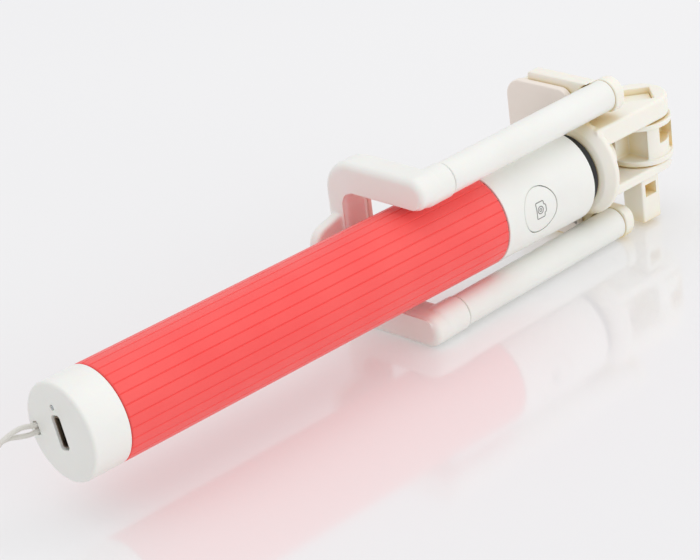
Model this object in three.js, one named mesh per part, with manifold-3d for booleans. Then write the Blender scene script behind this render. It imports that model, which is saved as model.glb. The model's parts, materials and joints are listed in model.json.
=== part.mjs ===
// A folded telescopic selfie stick: fluted rubber grip, control head with a shutter button,
// five telescoping steel sections, and a phone clamp folded back along the handle.
//
// Frame: X runs along the stick from the end cap to the hinge, Z is up, and Z = 0 is the surface
// that the stick lies on. The origin is the bottom centre of the stick and its clamp. The pieces
// are drawn from the end cap's face, on the stick's axis, and moved into that frame at the end.
// Units are millimetres.

import * as THREE from 'three';
import { mergeVertices } from 'three/addons/utils/BufferGeometryUtils.js';
import Module from 'manifold-3d';

const wasm = await Module();
wasm.setup();

// ---------------------------------------------------------------- driving dimensions

const GAP = 0.3; // clearance between separate pieces
const AXIS_HEIGHT = 22.9; // stick axis above the table
const HANDLE_RADIUS = 12.5;
const CAP_LENGTH = 10.5;
const GRIP_END = 133.5; // front end of the rubber grip
const HEAD_END = 166.3; // front end of the control head
const COLLAR_END = 169.7;
const HINGE_X = 197.6; // clamp hinge axis, measured from the end cap's face
const FLUTES = 28;
const WIDTH_MIDDLE = 4.9; // middle of the whole width, from the stick's axis

const SECTIONS = 5; // moving sections of the pole
const POLE_START = 42; // rear end of the outer tube
const POLE_RADIUS = 8.1; // of the fixed outer tube
const POLE_STEP = 0.9; // each section's radius is smaller by this
const POLE_WALL = 0.45;

const EAR_INNER = 6.1; // both ears of the fork start this far from the axis
const UPPER_EAR_TOP = 11.8;
const LOWER_EAR_END = 8.8;
const EAR_RADIUS = 8.4;

const FOLD_ANGLE = THREE.MathUtils.degToRad(1.9); // the folded clamp's angle to the stick
const ARM_Z = 18.3; // the clamp's two rods lie this far above and below the axis
const ARM_Y = -3.7;
const BAR_HALF = 4.6; // half the thickness of the bow's arms
const SLEEVE_RADIUS = 4.3;
const SLEEVE_BORE = 3.1;
const ROD_RADIUS = 1.5;
const JAW_FRONT = -24.6; // jaw frame, measured from the hinge axis
const JAW_BACK = -13.9;
const SLEEVE_SEAM = -17.5; // front end of the sleeves, where the jaw's caps begin
const SLEEVE_MOUTH = -79.0;
const BOW_FRONT = -91.8;
const BOW_DEPTH = 8.6;
const SOCKET_END = SLEEVE_MOUTH - GAP;

const BUTTON_X = 145.5;
const BUTTON_RADIUS = 5.9;
const BUTTON_TRAVEL = 0.6;
const BUTTON_TWIST = THREE.MathUtils.degToRad(-4.7); // about the stick, from straight to the side

const STRAP_RADIUS = 0.6; // wrist strap cord

// ---------------------------------------------------------------- finishes

function finish(color, roughness, metalness) {
  return new THREE.MeshStandardMaterial({ color, roughness, metalness });
}

const whiteShell = finish(0xf1f0ea, 0.35, 0);
const creamShell = finish(0xf2eddb, 0.38, 0);
const coralRubber = finish(0xf56a66, 0.6, 0);
const blackPlastic = finish(0x1d1d1f, 0.5, 0);
const greyCore = finish(0x8d9094, 0.6, 0);
const steel = finish(0xc8cbd0, 0.25, 1);
const springSteel = finish(0x9ea2a8, 0.35, 1);
const softPad = finish(0xd9d4c6, 0.8, 0);
const boardGreen = finish(0x1f6b3c, 0.5, 0);
const cellBlue = finish(0x2f5fa8, 0.45, 0);
const ledLens = finish(0xe9f2f6, 0.15, 0);
const strapNylon = finish(0xefe8d6, 0.75, 0);

// ---------------------------------------------------------------- solid helpers

// Turns a closed geometry into a solid with its faces pointing outwards.
function solid(geometry) {
  const bare = geometry.clone();
  bare.deleteAttribute('normal');
  bare.deleteAttribute('uv');
  const merged = mergeVertices(bare, 1e-4);
  const index = Array.from(merged.index.array);
  const p = merged.attributes.position;
  const corner = (i) => new THREE.Vector3().fromBufferAttribute(p, i);
  let volume = 0;
  const triangles = [];
  for (let i = 0; i < index.length; i += 3) {
    const [a, b, c] = [index[i], index[i + 1], index[i + 2]];
    if (a === b || b === c || c === a) continue;
    triangles.push(a, b, c);
    volume += corner(a).dot(corner(b).cross(corner(c)));
  }
  if (volume < 0) triangles.reverse();
  return new wasm.Manifold(
    new wasm.Mesh({
      numProp: 3,
      vertProperties: new Float32Array(p.array),
      triVerts: new Uint32Array(triangles),
    }),
  );
}

function geometryOf(body) {
  const mesh = body.getMesh();
  const geometry = new THREE.BufferGeometry();
  geometry.setAttribute('position', new THREE.BufferAttribute(mesh.vertProperties, mesh.numProp));
  geometry.setIndex(new THREE.BufferAttribute(mesh.triVerts, 1));
  geometry.computeVertexNormals();
  return geometry;
}

function join(...geometries) {
  return geometryOf(geometries.map(solid).reduce((sum, next) => sum.add(next)));
}

function cut(base, ...tools) {
  return geometryOf(tools.map(solid).reduce((rest, tool) => rest.subtract(tool), solid(base)));
}

// ---------------------------------------------------------------- shape helpers

function box(x0, x1, y0, y1, z0, z1) {
  const size = new THREE.BoxGeometry(x1 - x0, y1 - y0, z1 - z0);
  return size.translate((x0 + x1) / 2, (y0 + y1) / 2, (z0 + z1) / 2);
}

// Revolves [x, radius] pairs about the X axis.
function turned(profile, segments = 24) {
  const points = profile.map(([x, radius]) => new THREE.Vector2(radius, x));
  return new THREE.LatheGeometry(points, segments).rotateZ(-Math.PI / 2);
}

function tube(x0, x1, outer, inner, segments = 24) {
  return turned([[x0, inner], [x0, outer], [x1, outer], [x1, inner], [x0, inner]], segments);
}

function rod(x0, x1, radius, segments = 20) {
  return turned([[x0, 0], [x0, radius], [x1, radius], [x1, 0]], segments);
}

// A round bar parallel to Y or Z, centred on (a, b) in the plane across it.
function rodY(y0, y1, radius, x, z, segments = 20) {
  const bar = new THREE.CylinderGeometry(radius, radius, y1 - y0, segments);
  return bar.translate(x, (y0 + y1) / 2, z);
}

function rodZ(z0, z1, radius, x, y, segments = 20) {
  const bar = new THREE.CylinderGeometry(radius, radius, z1 - z0, segments).rotateX(Math.PI / 2);
  return bar.translate(x, y, (z0 + z1) / 2);
}

function extruded(shape, length, edge, curveSegments) {
  const settings = { depth: length - 2 * edge, curveSegments, bevelEnabled: edge > 0 };
  const bevel = { bevelThickness: edge, bevelSize: edge, bevelOffset: -edge, bevelSegments: 2 };
  return new THREE.ExtrudeGeometry(shape, { ...settings, ...bevel }).translate(0, 0, edge);
}

// Extrudes a shape drawn in Y and Z along X, with its edges rounded off by "edge".
function alongX(shape, x0, x1, edge = 0, curveSegments = 4) {
  const axes = new THREE.Matrix4().makeBasis(
    new THREE.Vector3(0, 1, 0),
    new THREE.Vector3(0, 0, 1),
    new THREE.Vector3(1, 0, 0),
  );
  return extruded(shape, x1 - x0, edge, curveSegments).applyMatrix4(axes).translate(x0, 0, 0);
}

// Extrudes a shape drawn in X and Y along Z.
function alongZ(shape, z0, z1, edge = 0, curveSegments = 4) {
  return extruded(shape, z1 - z0, edge, curveSegments).translate(0, 0, z0);
}

// A cord or wire of round section along a smooth curve through the points.
function wire(curve, radius, steps, sides) {
  const section = new THREE.Shape();
  section.absarc(0, 0, radius, 0, 2 * Math.PI);
  return new THREE.ExtrudeGeometry(section, {
    steps,
    extrudePath: curve,
    curveSegments: sides / 2,
    bevelEnabled: false,
  });
}

function piece(name, geometry, material) {
  const mesh = new THREE.Mesh(geometry, material);
  mesh.name = name;
  return mesh;
}

// ---------------------------------------------------------------- handle

const CAP_TWIST = THREE.MathUtils.degToRad(-14); // the cap is turned about the stick by this
const CAP_EDGE = 1.4;
const CAP_FACE = 2.4; // thickness of the cap's end wall
const CAP_SPIGOT_RADIUS = 9.0;
const CAP_SPIGOT_BORE = 7.6;
const CAP_SPIGOT_END = 17;
const SLOT_HALF_WIDTH = 1.7;
const SLOT_HALF_HEIGHT = 4.3;
const LED_Z = 6.2;
const LED_RADIUS = 0.6;
const EYELET_Y = 9.4; // opening for the wrist strap, in the cap's rim
const EYELET_Z = 0.7;
const EYELET_DEPTH = 5.2;
const EYELET_HALF_WIDTH = 0.95;
const EYELET_HALF_HEIGHT = 1.75;
const EYELET_PIN_X = 3.7;
const EYELET_PIN_RADIUS = 0.45;
const EYELET_PIN_START = EYELET_Y - 1.3;
const EYELET_PIN_END = EYELET_Y + 1.6;

function slotShape(halfWidth, halfHeight) {
  const corner = halfWidth * 0.55;
  const shape = new THREE.Shape();
  shape.moveTo(-halfWidth + corner, -halfHeight);
  shape.lineTo(halfWidth - corner, -halfHeight);
  shape.absarc(halfWidth - corner, -halfHeight + corner, corner, -Math.PI / 2, 0);
  shape.lineTo(halfWidth, halfHeight - corner);
  shape.absarc(halfWidth - corner, halfHeight - corner, corner, 0, Math.PI / 2);
  shape.lineTo(-halfWidth + corner, halfHeight);
  shape.absarc(-halfWidth + corner, halfHeight - corner, corner, Math.PI / 2, Math.PI);
  shape.lineTo(-halfWidth, -halfHeight + corner);
  shape.absarc(-halfWidth + corner, -halfHeight + corner, corner, Math.PI, 1.5 * Math.PI);
  return shape;
}

function endCap() {
  const profile = [
    [0, 0],
    [0, HANDLE_RADIUS - CAP_EDGE],
    [CAP_EDGE * 0.3, HANDLE_RADIUS - CAP_EDGE * 0.3],
    [CAP_EDGE, HANDLE_RADIUS],
    [CAP_LENGTH, HANDLE_RADIUS],
    [CAP_LENGTH, CAP_SPIGOT_RADIUS],
    [CAP_SPIGOT_END, CAP_SPIGOT_RADIUS],
    [CAP_SPIGOT_END, CAP_SPIGOT_BORE],
    [CAP_FACE, CAP_SPIGOT_BORE],
    [CAP_FACE, 0],
  ];
  const slot = alongX(slotShape(SLOT_HALF_WIDTH, SLOT_HALF_HEIGHT), -1, 4);
  const led = rod(-1, 4, LED_RADIUS + GAP, 12).translate(0, 0, LED_Z);
  const eyelet = alongX(slotShape(EYELET_HALF_WIDTH, EYELET_HALF_HEIGHT), -1, EYELET_DEPTH);
  const [pinStart, pinEnd] = [EYELET_PIN_START - GAP, EYELET_PIN_END + GAP];
  const pinHole = rodY(pinStart, pinEnd, EYELET_PIN_RADIUS + GAP, EYELET_PIN_X, EYELET_Z, 12);
  return cut(turned(profile, 36), slot, led, eyelet.translate(0, EYELET_Y, EYELET_Z), pinHole);
}

// The strap is looped round this pin inside the cap's rim.
function eyeletPin() {
  return rodY(EYELET_PIN_START, EYELET_PIN_END, EYELET_PIN_RADIUS, EYELET_PIN_X, EYELET_Z, 12);
}

function usbSocket() {
  const outer = alongX(slotShape(1.35, 3.8), 1.0, 7.5);
  const mouth = alongX(slotShape(1.05, 3.5), 0, 6.5);
  const tongue = box(2.2, 7, -0.25, 0.35, -2.3, 2.3);
  return join(cut(outer, mouth), tongue);
}

function fluteOutline(outer, depth, inner) {
  const shape = new THREE.Shape();
  const pitch = (2 * Math.PI) / FLUTES;
  for (let i = 0; i < FLUTES; i += 1) {
    const steps = [[0, outer - depth], [0.1, outer], [0.5, outer], [0.9, outer]];
    steps.forEach(([share, radius], k) => {
      const angle = (i + share) * pitch;
      const [y, z] = [radius * Math.cos(angle), radius * Math.sin(angle)];
      if (i === 0 && k === 0) shape.moveTo(y, z);
      else shape.lineTo(y, z);
    });
  }
  shape.closePath();
  const bore = new THREE.Path();
  bore.absarc(0, 0, inner, 0, 2 * Math.PI, true);
  shape.holes.push(bore);
  return shape;
}

const CORE_RADIUS = 10.6;
const CORE_BORE = 9.3;
const BOARD_BACK = -8.65; // the control board lies above the pole's outer tube
const BOARD_FRONT = -9.05;
const STEM_END = -10.65; // inner end of the button's stem
const COLLAR_RADIUS = 10.4;
const COLLAR_BORE = 7.7;
const COLLAR_SPIGOT_RADIUS = 9.0;
const COLLAR_SPIGOT_BORE = 8.6;
const COLLAR_SPIGOT_LENGTH = 3;

function gripSleeve() {
  const outline = fluteOutline(HANDLE_RADIUS, 0.45, CORE_RADIUS + GAP);
  return alongX(outline, CAP_LENGTH + GAP, GRIP_END, 0, 16);
}

function controlHead() {
  const wall = 1.5;
  const rim = 0.9;
  const profile = [
    [GRIP_END + GAP, CORE_RADIUS + GAP],
    [GRIP_END + GAP, HANDLE_RADIUS],
    [HEAD_END - rim, HANDLE_RADIUS],
    [HEAD_END - rim * 0.3, HANDLE_RADIUS - rim * 0.3],
    [HEAD_END, HANDLE_RADIUS - rim],
    [HEAD_END, HANDLE_RADIUS - wall],
    [GRIP_END + GAP, CORE_RADIUS + GAP],
  ];
  const opening = rodY(-HANDLE_RADIUS - 1, -6, BUTTON_RADIUS + GAP, BUTTON_X, 0, 32);
  return cut(turned(profile, 36), opening).rotateX(BUTTON_TWIST);
}

// The core tube carries the grip and the control head, and has a window under the button.
function gripCore() {
  const body = tube(CAP_SPIGOT_END - 6, HEAD_END - 1.5, CORE_RADIUS, CORE_BORE, 32);
  const window = box(BUTTON_X - 7.5, BUTTON_X + 7.5, -CORE_RADIUS - 1, -7, -6.4, 6.4);
  return cut(body, window.rotateX(BUTTON_TWIST));
}

function shutterButton() {
  const skin = cut(
    tube(BUTTON_X - 8, BUTTON_X + 8, HANDLE_RADIUS - 0.05, HANDLE_RADIUS - 1.3, 48),
    box(BUTTON_X - 9, BUTTON_X + 9, -3, 20, -20, 20),
  );
  const disc = rodY(-HANDLE_RADIUS - 1, -6, BUTTON_RADIUS, BUTTON_X, 0, 32);
  const face = geometryOf(solid(skin).intersect(solid(disc)));
  const stem = rodY(-11.6, STEM_END, 1.6, BUTTON_X, 0, 16);
  return join(face, stem);
}

function controlBoard() {
  return box(BUTTON_X - 7, BUTTON_X + 7, BOARD_FRONT, BOARD_BACK, -2.6, 2.6);
}

function tactileSwitch() {
  const top = STEM_END + BUTTON_TRAVEL + 0.1;
  return box(BUTTON_X - 1.6, BUTTON_X + 1.6, top, BOARD_FRONT - GAP, -1.6, 1.6);
}

function collarRing() {
  const edge = 0.5;
  const tail = HEAD_END - COLLAR_SPIGOT_LENGTH;
  const profile = [
    [tail, COLLAR_SPIGOT_BORE],
    [tail, COLLAR_SPIGOT_RADIUS],
    [HEAD_END + GAP, COLLAR_SPIGOT_RADIUS],
    [HEAD_END + GAP, COLLAR_RADIUS],
    [COLLAR_END - edge, COLLAR_RADIUS],
    [COLLAR_END, COLLAR_RADIUS - edge],
    [COLLAR_END, COLLAR_BORE],
    [HEAD_END + GAP, COLLAR_BORE],
    [HEAD_END + GAP, COLLAR_SPIGOT_BORE],
    [tail, COLLAR_SPIGOT_BORE],
  ];
  return turned(profile, 36);
}

function handlePieces() {
  const cap = new THREE.Group();
  cap.rotation.x = CAP_TWIST;
  cap.add(
    piece('end_cap', endCap(), whiteShell),
    piece('usb_socket', usbSocket(), steel),
    piece('charge_board', box(7.9, 8.7, -5, 5, -5, 5), boardGreen),
    piece('status_led', rod(0.4, 7.5, LED_RADIUS, 12).translate(0, 0, LED_Z), ledLens),
    piece('eyelet_pin', eyeletPin(), steel),
  );
  const controls = new THREE.Group();
  controls.rotation.x = BUTTON_TWIST;
  controls.add(
    piece('control_board', controlBoard(), boardGreen),
    piece('tactile_switch', tactileSwitch(), blackPlastic),
    piece('shutter_button', shutterButton(), whiteShell),
  );
  return [
    cap,
    controls,
    piece('battery_cell', rod(18, 40, 6.5, 24), cellBlue),
    piece('grip_core', gripCore(), greyCore),
    piece('grip_sleeve', gripSleeve(), coralRubber),
    piece('control_head', controlHead(), whiteShell),
    piece('collar_ring', collarRing(), blackPlastic),
  ];
}

// ---------------------------------------------------------------- pole

const SECTION_TAIL = 1.6; // each section's rear end is this much further forward
const SOCKET_BACK = HINGE_X - 18.4; // bottom of the fork's socket for the thinnest section

function sectionTube(i) {
  const outer = POLE_RADIUS - POLE_STEP * i;
  const start = POLE_START + SECTION_TAIL * i;
  const end = i === 0 ? HEAD_END - 0.6 : COLLAR_END - 0.2;
  const inner = outer - POLE_WALL;
  return tube(start, i === SECTIONS ? SOCKET_BACK - GAP : end, outer, inner, 24);
}

function polePieces() {
  const tubes = [piece('pole_outer', sectionTube(0), steel)];
  for (let i = 1; i <= SECTIONS; i += 1) {
    tubes.push(piece(`pole_section_${i}`, sectionTube(i), steel));
  }
  return tubes;
}

// ---------------------------------------------------------------- fork and hinge

const DISC_RADIUS = 13.6;
const DISC_BACK = 174.6;
const DISC_POCKET_RADIUS = 5.4; // round recess in the disc's far side
const DISC_FLOOR = 3.6; // material between that recess and the socket
const BOLT_RADIUS = 1.9;
const BOLT_HEAD_RADIUS = 3.3;
const BOLT_HEAD_Z = 7.1; // underside of the head, inside the upper ear
const RECESS_TURN = THREE.MathUtils.degToRad(-40);
const RECESS_HALF = 4.3;
const RECESS_FLOOR = 9.1;
const NUT_RADIUS = 3.4;
const NUT_TOP = -7.2;

function earShape() {
  const shape = new THREE.Shape();
  shape.moveTo(DISC_BACK - 2, -EAR_RADIUS);
  shape.lineTo(HINGE_X, -EAR_RADIUS);
  shape.absarc(HINGE_X, 0, EAR_RADIUS, -Math.PI / 2, Math.PI / 2);
  shape.lineTo(DISC_BACK - 2, EAR_RADIUS);
  shape.closePath();
  return shape;
}

// A round disc with two ears; the clamp's knuckle turns between them.
function fork() {
  const front = COLLAR_END + GAP;
  const socket = POLE_RADIUS - POLE_STEP * SECTIONS + GAP;
  const disc = turned([
    [front, socket],
    [front, 10.0],
    [front + 0.5, 11.2],
    [front + 2.2, DISC_RADIUS - 0.3],
    [front + 3.2, DISC_RADIUS],
    [DISC_BACK - 0.6, DISC_RADIUS],
    [DISC_BACK, DISC_RADIUS - 0.6],
    [DISC_BACK, DISC_POCKET_RADIUS],
    [SOCKET_BACK + DISC_FLOOR, DISC_POCKET_RADIUS],
    [SOCKET_BACK + DISC_FLOOR, 0],
    [SOCKET_BACK, 0],
    [SOCKET_BACK, socket],
    [front, socket],
  ], 36);
  const upperEar = alongZ(earShape(), EAR_INNER, UPPER_EAR_TOP, 0.7, 8);
  const lowerEar = alongZ(earShape(), -LOWER_EAR_END, -EAR_INNER, 0.6, 8);
  const bore = rodZ(-20, 20, BOLT_RADIUS + GAP, HINGE_X, 0, 16);
  const headSeat = rodZ(BOLT_HEAD_Z - GAP, 20, BOLT_HEAD_RADIUS + GAP, HINGE_X, 0);
  const nutSeat = rodZ(-20, NUT_TOP + GAP, NUT_RADIUS + GAP, HINGE_X, 0, 6);
  const halves = [-RECESS_HALF, RECESS_HALF];
  const recess = box(...halves, ...halves, RECESS_FLOOR, 20).rotateZ(RECESS_TURN);
  return cut(join(disc, upperEar, lowerEar), bore, headSeat, nutSeat, recess.translate(HINGE_X, 0, 0));
}

// Hinge bolt, its nut and the square plug over its head, all in line with the hinge axis.
function hingeBolt() {
  return turned([
    [-LOWER_EAR_END, 0],
    [-LOWER_EAR_END, BOLT_RADIUS],
    [BOLT_HEAD_Z, BOLT_RADIUS],
    [BOLT_HEAD_Z, BOLT_HEAD_RADIUS],
    [RECESS_FLOOR - GAP, BOLT_HEAD_RADIUS],
    [RECESS_FLOOR - GAP, 0],
  ], 24).rotateY(-Math.PI / 2).translate(HINGE_X, 0, 0);
}

function hingeNut() {
  const nut = rodZ(-LOWER_EAR_END, NUT_TOP, NUT_RADIUS, HINGE_X, 0, 6);
  return cut(nut, rodZ(-20, 0, BOLT_RADIUS + GAP, HINGE_X, 0));
}

function hingePlug() {
  const half = RECESS_HALF - GAP;
  const plug = box(-half, half, -half, half, RECESS_FLOOR, RECESS_FLOOR + 0.9);
  return plug.rotateZ(RECESS_TURN).translate(HINGE_X, 0, 0);
}

const POST = { x0: -7.4, x1: -0.4, y0: -6.5, y1: 0.5, top: -LOWER_EAR_END - GAP, bottom: -21.9 };
const POST_HOLE = { half: 2.1, depth: 4, top: -2.1, bottom: -5.6 }; // heights from the post's top

// A square post under the lower ear, with a square hole through its side near the top.
function hingePost() {
  const { x0, x1, y0, y1, top, bottom } = POST;
  const shape = new THREE.Shape();
  shape.moveTo(x0, y0);
  shape.lineTo(x1, y0);
  shape.lineTo(x1, y1);
  shape.lineTo(x0, y1);
  shape.closePath();
  const { half, depth } = POST_HOLE;
  const middle = (x0 + x1) / 2;
  const [holeLow, holeHigh] = [top + POST_HOLE.bottom, top + POST_HOLE.top];
  const hole = box(middle - half, middle + half, y0 - 1, y0 + depth, holeLow, holeHigh);
  return cut(alongZ(shape, bottom, top, 0.5), hole).translate(HINGE_X, 0, 0);
}

// ---------------------------------------------------------------- clamp, drawn from its hinge axis

const KNUCKLE_HALF = 5.8; // half the knuckle's height, between the ears
const KNUCKLE_RADIUS = 9.0;
const KNUCKLE_FLAT = 8.2; // the knuckle's far end is cut flat here
const KNUCKLE_RIM = 1; // depth of the step round the knuckle's waist
const FLANGE = 1.5; // thickness of the knuckle's top and bottom walls
const LEFT_POCKET = { x0: -12, x1: -3.4, y0: -6.6, y1: 0.8 };
const RIGHT_POCKET = { x0: -0.6, x1: 6.4, y0: -10, y1: -2.6, rise: 3.6 };
const JAW_INNER_Y = 16.0;
const JAW_OUTER_Y = 23.6;
const JAW_PAD = 2.2; // thickness of the jaw's soft face
const JAW_PAD_MARGIN = 0.3; // the soft face covers the plate by this all round
const LIP_END = 18.2;
const LIP_CORNER = 1;
const LIP_DEPTH = 4.2;
const SCREW_X = -17.8;
const SCREW_Z = 3.0;
const SCREW_SHANK = 1.0;
const SCREW_HEAD = 2.0;

// A U lying in Y and Z: two arms that start at armEnd and a crossbar between innerY and outerY.
function bowShape({ armEnd, innerZ, outerZ, innerY, outerY, innerR, outerR }) {
  const middle = (innerZ + outerZ) / 2;
  const half = (outerZ - innerZ) / 2;
  const start = armEnd + half;
  const shape = new THREE.Shape();
  shape.moveTo(start, outerZ);
  shape.absarc(start, middle, half, Math.PI / 2, 1.5 * Math.PI);
  shape.lineTo(innerY - innerR, innerZ);
  shape.absarc(innerY - innerR, innerZ - innerR, innerR, Math.PI / 2, 0, true);
  shape.lineTo(innerY, -innerZ + innerR);
  shape.absarc(innerY - innerR, -innerZ + innerR, innerR, 0, -Math.PI / 2, true);
  shape.lineTo(start, -innerZ);
  shape.absarc(start, -middle, half, Math.PI / 2, 1.5 * Math.PI);
  shape.lineTo(outerY - outerR, -outerZ);
  shape.absarc(outerY - outerR, -outerZ + outerR, outerR, -Math.PI / 2, 0);
  shape.lineTo(outerY, outerZ - outerR);
  shape.absarc(outerY - outerR, outerZ - outerR, outerR, 0, Math.PI / 2);
  shape.closePath();
  return shape;
}

const JAW_OUTLINE = {
  armEnd: ARM_Y - BAR_HALF,
  innerZ: 13.9,
  outerZ: 20.7,
  innerY: JAW_INNER_Y,
  outerY: JAW_OUTER_Y,
  innerR: 9,
  outerR: 5.2,
};

function screwHoles(radius, y0, y1) {
  return [1, -1].map((side) => rodY(y0, y1, radius, SCREW_X, side * SCREW_Z, 16));
}

const LIP_HALF = (AXIS_HEIGHT - JAW_OUTLINE.innerZ) / 2; // also the radius of its round end

// A lip of the jaw's frame, with a round end, drawn in Y and Z.
function lipShape() {
  const { armEnd, innerZ } = JAW_OUTLINE;
  const outerZ = AXIS_HEIGHT;
  const half = LIP_HALF;
  const shape = new THREE.Shape();
  shape.moveTo(armEnd + half, outerZ);
  shape.absarc(armEnd + half, innerZ + half, half, Math.PI / 2, 1.5 * Math.PI);
  shape.lineTo(LIP_END, innerZ);
  shape.lineTo(LIP_END, outerZ - LIP_CORNER);
  shape.absarc(LIP_END - LIP_CORNER, outerZ - LIP_CORNER, LIP_CORNER, 0, Math.PI / 2);
  shape.closePath();
  return shape;
}

// The jaw's frame: a U plate with a lip above and below its soft face, and a round cap on each
// lip that the sleeve ends in.
function jawFrame() {
  const front = JAW_FRONT + JAW_PAD + GAP;
  const plate = alongX(bowShape(JAW_OUTLINE), front, JAW_BACK, 0.8);
  const lip = (side) => alongX(lipShape(), front, front + LIP_DEPTH).scale(1, 1, side);
  const capCentre = [JAW_OUTLINE.armEnd + LIP_HALF, JAW_OUTLINE.innerZ + LIP_HALF];
  const cap = (side) => rod(front + 1, JAW_BACK, LIP_HALF, 24)
    .translate(0, capCentre[0], side * capCentre[1]);
  const saddleEnd = SLEEVE_SEAM + GAP;
  const saddle = (side) => rod(front - 1, saddleEnd, SLEEVE_RADIUS + GAP, 24)
    .translate(0, ARM_Y, side * ARM_Z);
  const open = (side) => box(front - 1, saddleEnd, -14, ARM_Y, 8, 26).scale(1, 1, side);
  const socket = (side) => rod(front - 1, JAW_BACK - 1.2, SLEEVE_BORE + GAP)
    .translate(0, ARM_Y, side * ARM_Z);
  const body = join(plate, lip(1), lip(-1), cap(1), cap(-1));
  const openings = [1, -1].flatMap((side) => [saddle(side), open(side), socket(side)]);
  const counterbores = screwHoles(SCREW_HEAD + GAP, JAW_OUTER_Y - 1.9, JAW_OUTER_Y + 1);
  const holes = screwHoles(SCREW_SHANK + GAP, 10, JAW_OUTER_Y + 1);
  return cut(body, ...openings, ...holes, ...counterbores);
}

function jawPad() {
  const outline = {
    ...JAW_OUTLINE,
    armEnd: ARM_Y + 6,
    innerZ: JAW_OUTLINE.innerZ + JAW_PAD_MARGIN,
    outerZ: JAW_OUTLINE.outerZ + JAW_PAD_MARGIN,
    outerY: JAW_OUTER_Y + JAW_PAD_MARGIN,
    outerR: 5,
  };
  return alongX(bowShape(outline), JAW_FRONT, JAW_FRONT + JAW_PAD, 0.4, 3);
}

function knuckle() {
  const hub = rodZ(-KNUCKLE_HALF, KNUCKLE_HALF, KNUCKLE_RADIUS, 0, 0, 32);
  const end = box(KNUCKLE_FLAT, 12, -12, 12, -KNUCKLE_HALF - 1, KNUCKLE_HALF + 1);
  const tongueShape = new THREE.Shape([
    new THREE.Vector2(-7, 3),
    new THREE.Vector2(7.2, 3),
    new THREE.Vector2(JAW_BACK + 2, JAW_INNER_Y - GAP),
    new THREE.Vector2(JAW_FRONT + JAW_PAD + 1, JAW_INNER_Y - GAP),
  ]);
  const tongue = alongZ(tongueShape, -KNUCKLE_HALF, KNUCKLE_HALF);
  const [low, high] = [-KNUCKLE_HALF + FLANGE, KNUCKLE_HALF - FLANGE];
  const pocket = ({ x0, x1, y0, y1, rise = 0 }) => box(x0, x1, y0, y1, low + rise, high);
  const pockets = [pocket(LEFT_POCKET), pocket(RIGHT_POCKET)];
  const rim = cut(
    rodZ(low, high, KNUCKLE_RADIUS + 1, 0, 0, 32),
    rodZ(low - 1, high + 1, KNUCKLE_RADIUS - KNUCKLE_RIM, 0, 0, 32),
    box(-12, 12, -1, 12, low - 1, high + 1),
    box(RIGHT_POCKET.x1, 12, -10, 0, low - 1, high + 1),
  );
  const bolt = rodZ(-20, 20, BOLT_RADIUS + GAP, 0, 0);
  const holes = screwHoles(SCREW_SHANK + GAP, 7, 20);
  return cut(join(hub, tongue), end, ...pockets, rim, bolt, ...holes);
}

// Screws that hold the knuckle to the back of the jaw frame.
function knuckleScrew(side) {
  const seat = JAW_OUTER_Y - 1.6;
  const head = rodY(seat, JAW_OUTER_Y - 0.3, SCREW_HEAD, SCREW_X, side * SCREW_Z, 16);
  const shank = rodY(8.5, seat + 0.5, SCREW_SHANK, SCREW_X, side * SCREW_Z, 16);
  return join(head, shank);
}

function sleeve(side) {
  const spigot = SLEEVE_BORE - 0.05;
  const profile = [
    [SLEEVE_MOUTH, SLEEVE_BORE],
    [SLEEVE_MOUTH, SLEEVE_RADIUS],
    [SLEEVE_SEAM, SLEEVE_RADIUS],
    [SLEEVE_SEAM, spigot],
    [JAW_BACK - 1.6, spigot],
    [JAW_BACK - 1.6, SLEEVE_BORE - 0.8],
    [SLEEVE_SEAM - 3, SLEEVE_BORE - 0.8],
    [SLEEVE_SEAM - 3, SLEEVE_BORE],
    [SLEEVE_MOUTH, SLEEVE_BORE],
  ];
  return turned(profile, 24).translate(0, ARM_Y, side * ARM_Z);
}

const ROD_END = -27; // front end of a rod, inside its sleeve
const STOP_LENGTH = 2.4;
const BUSH_START = SLEEVE_MOUTH + 0.2;
const BUSH_LENGTH = 3.6;
const SPRING_TURNS = 10;
const SPRING_RADIUS = 2.35;
const SPRING_WIRE = 0.3;

function sleeveBush(side) {
  const ring = tube(BUSH_START, BUSH_START + BUSH_LENGTH, SLEEVE_BORE - GAP, ROD_RADIUS + GAP, 20);
  return ring.translate(0, ARM_Y, side * ARM_Z);
}

function bow() {
  const outline = {
    armEnd: ARM_Y - BAR_HALF,
    innerZ: 14.3,
    outerZ: ARM_Z + BAR_HALF,
    innerY: 19.6,
    outerY: 26.2,
    innerR: 3.5,
    outerR: 7.5,
  };
  const bar = alongX(bowShape(outline), BOW_FRONT, BOW_FRONT + BOW_DEPTH, 1.3);
  const tabShape = new THREE.Shape();
  tabShape.moveTo(BOW_FRONT + 3, -9);
  tabShape.lineTo(BOW_FRONT - 3, -7.5);
  tabShape.quadraticCurveTo(BOW_FRONT - 9.5, -5, BOW_FRONT - 9.5, 0);
  tabShape.quadraticCurveTo(BOW_FRONT - 9.5, 5, BOW_FRONT - 3, 7.5);
  tabShape.lineTo(BOW_FRONT + 3, 9);
  tabShape.closePath();
  const tab = alongZ(tabShape, 21, 24.4, 0.8).rotateX(-Math.PI / 2);
  const collar = (side) => rod(BOW_FRONT + 4, SOCKET_END, BAR_HALF).translate(0, ARM_Y, side * ARM_Z);
  const bore = (side) => rod(BOW_FRONT + 2.5, 0, ROD_RADIUS + GAP).translate(0, ARM_Y, side * ARM_Z);
  return cut(join(bar, tab, collar(1), collar(-1)), bore(1), bore(-1));
}

// Soft pad on the crossbar, facing the jaw.
function bowPad() {
  const start = BOW_FRONT + BOW_DEPTH + GAP;
  return alongX(slotShape(2.6, 11), start, start + 1.4, 0.3, 2).translate(0, 22.9, 0);
}

function slidingRod(side) {
  return rod(BOW_FRONT + 2.8, ROD_END, ROD_RADIUS, 20).translate(0, ARM_Y, side * ARM_Z);
}

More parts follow.
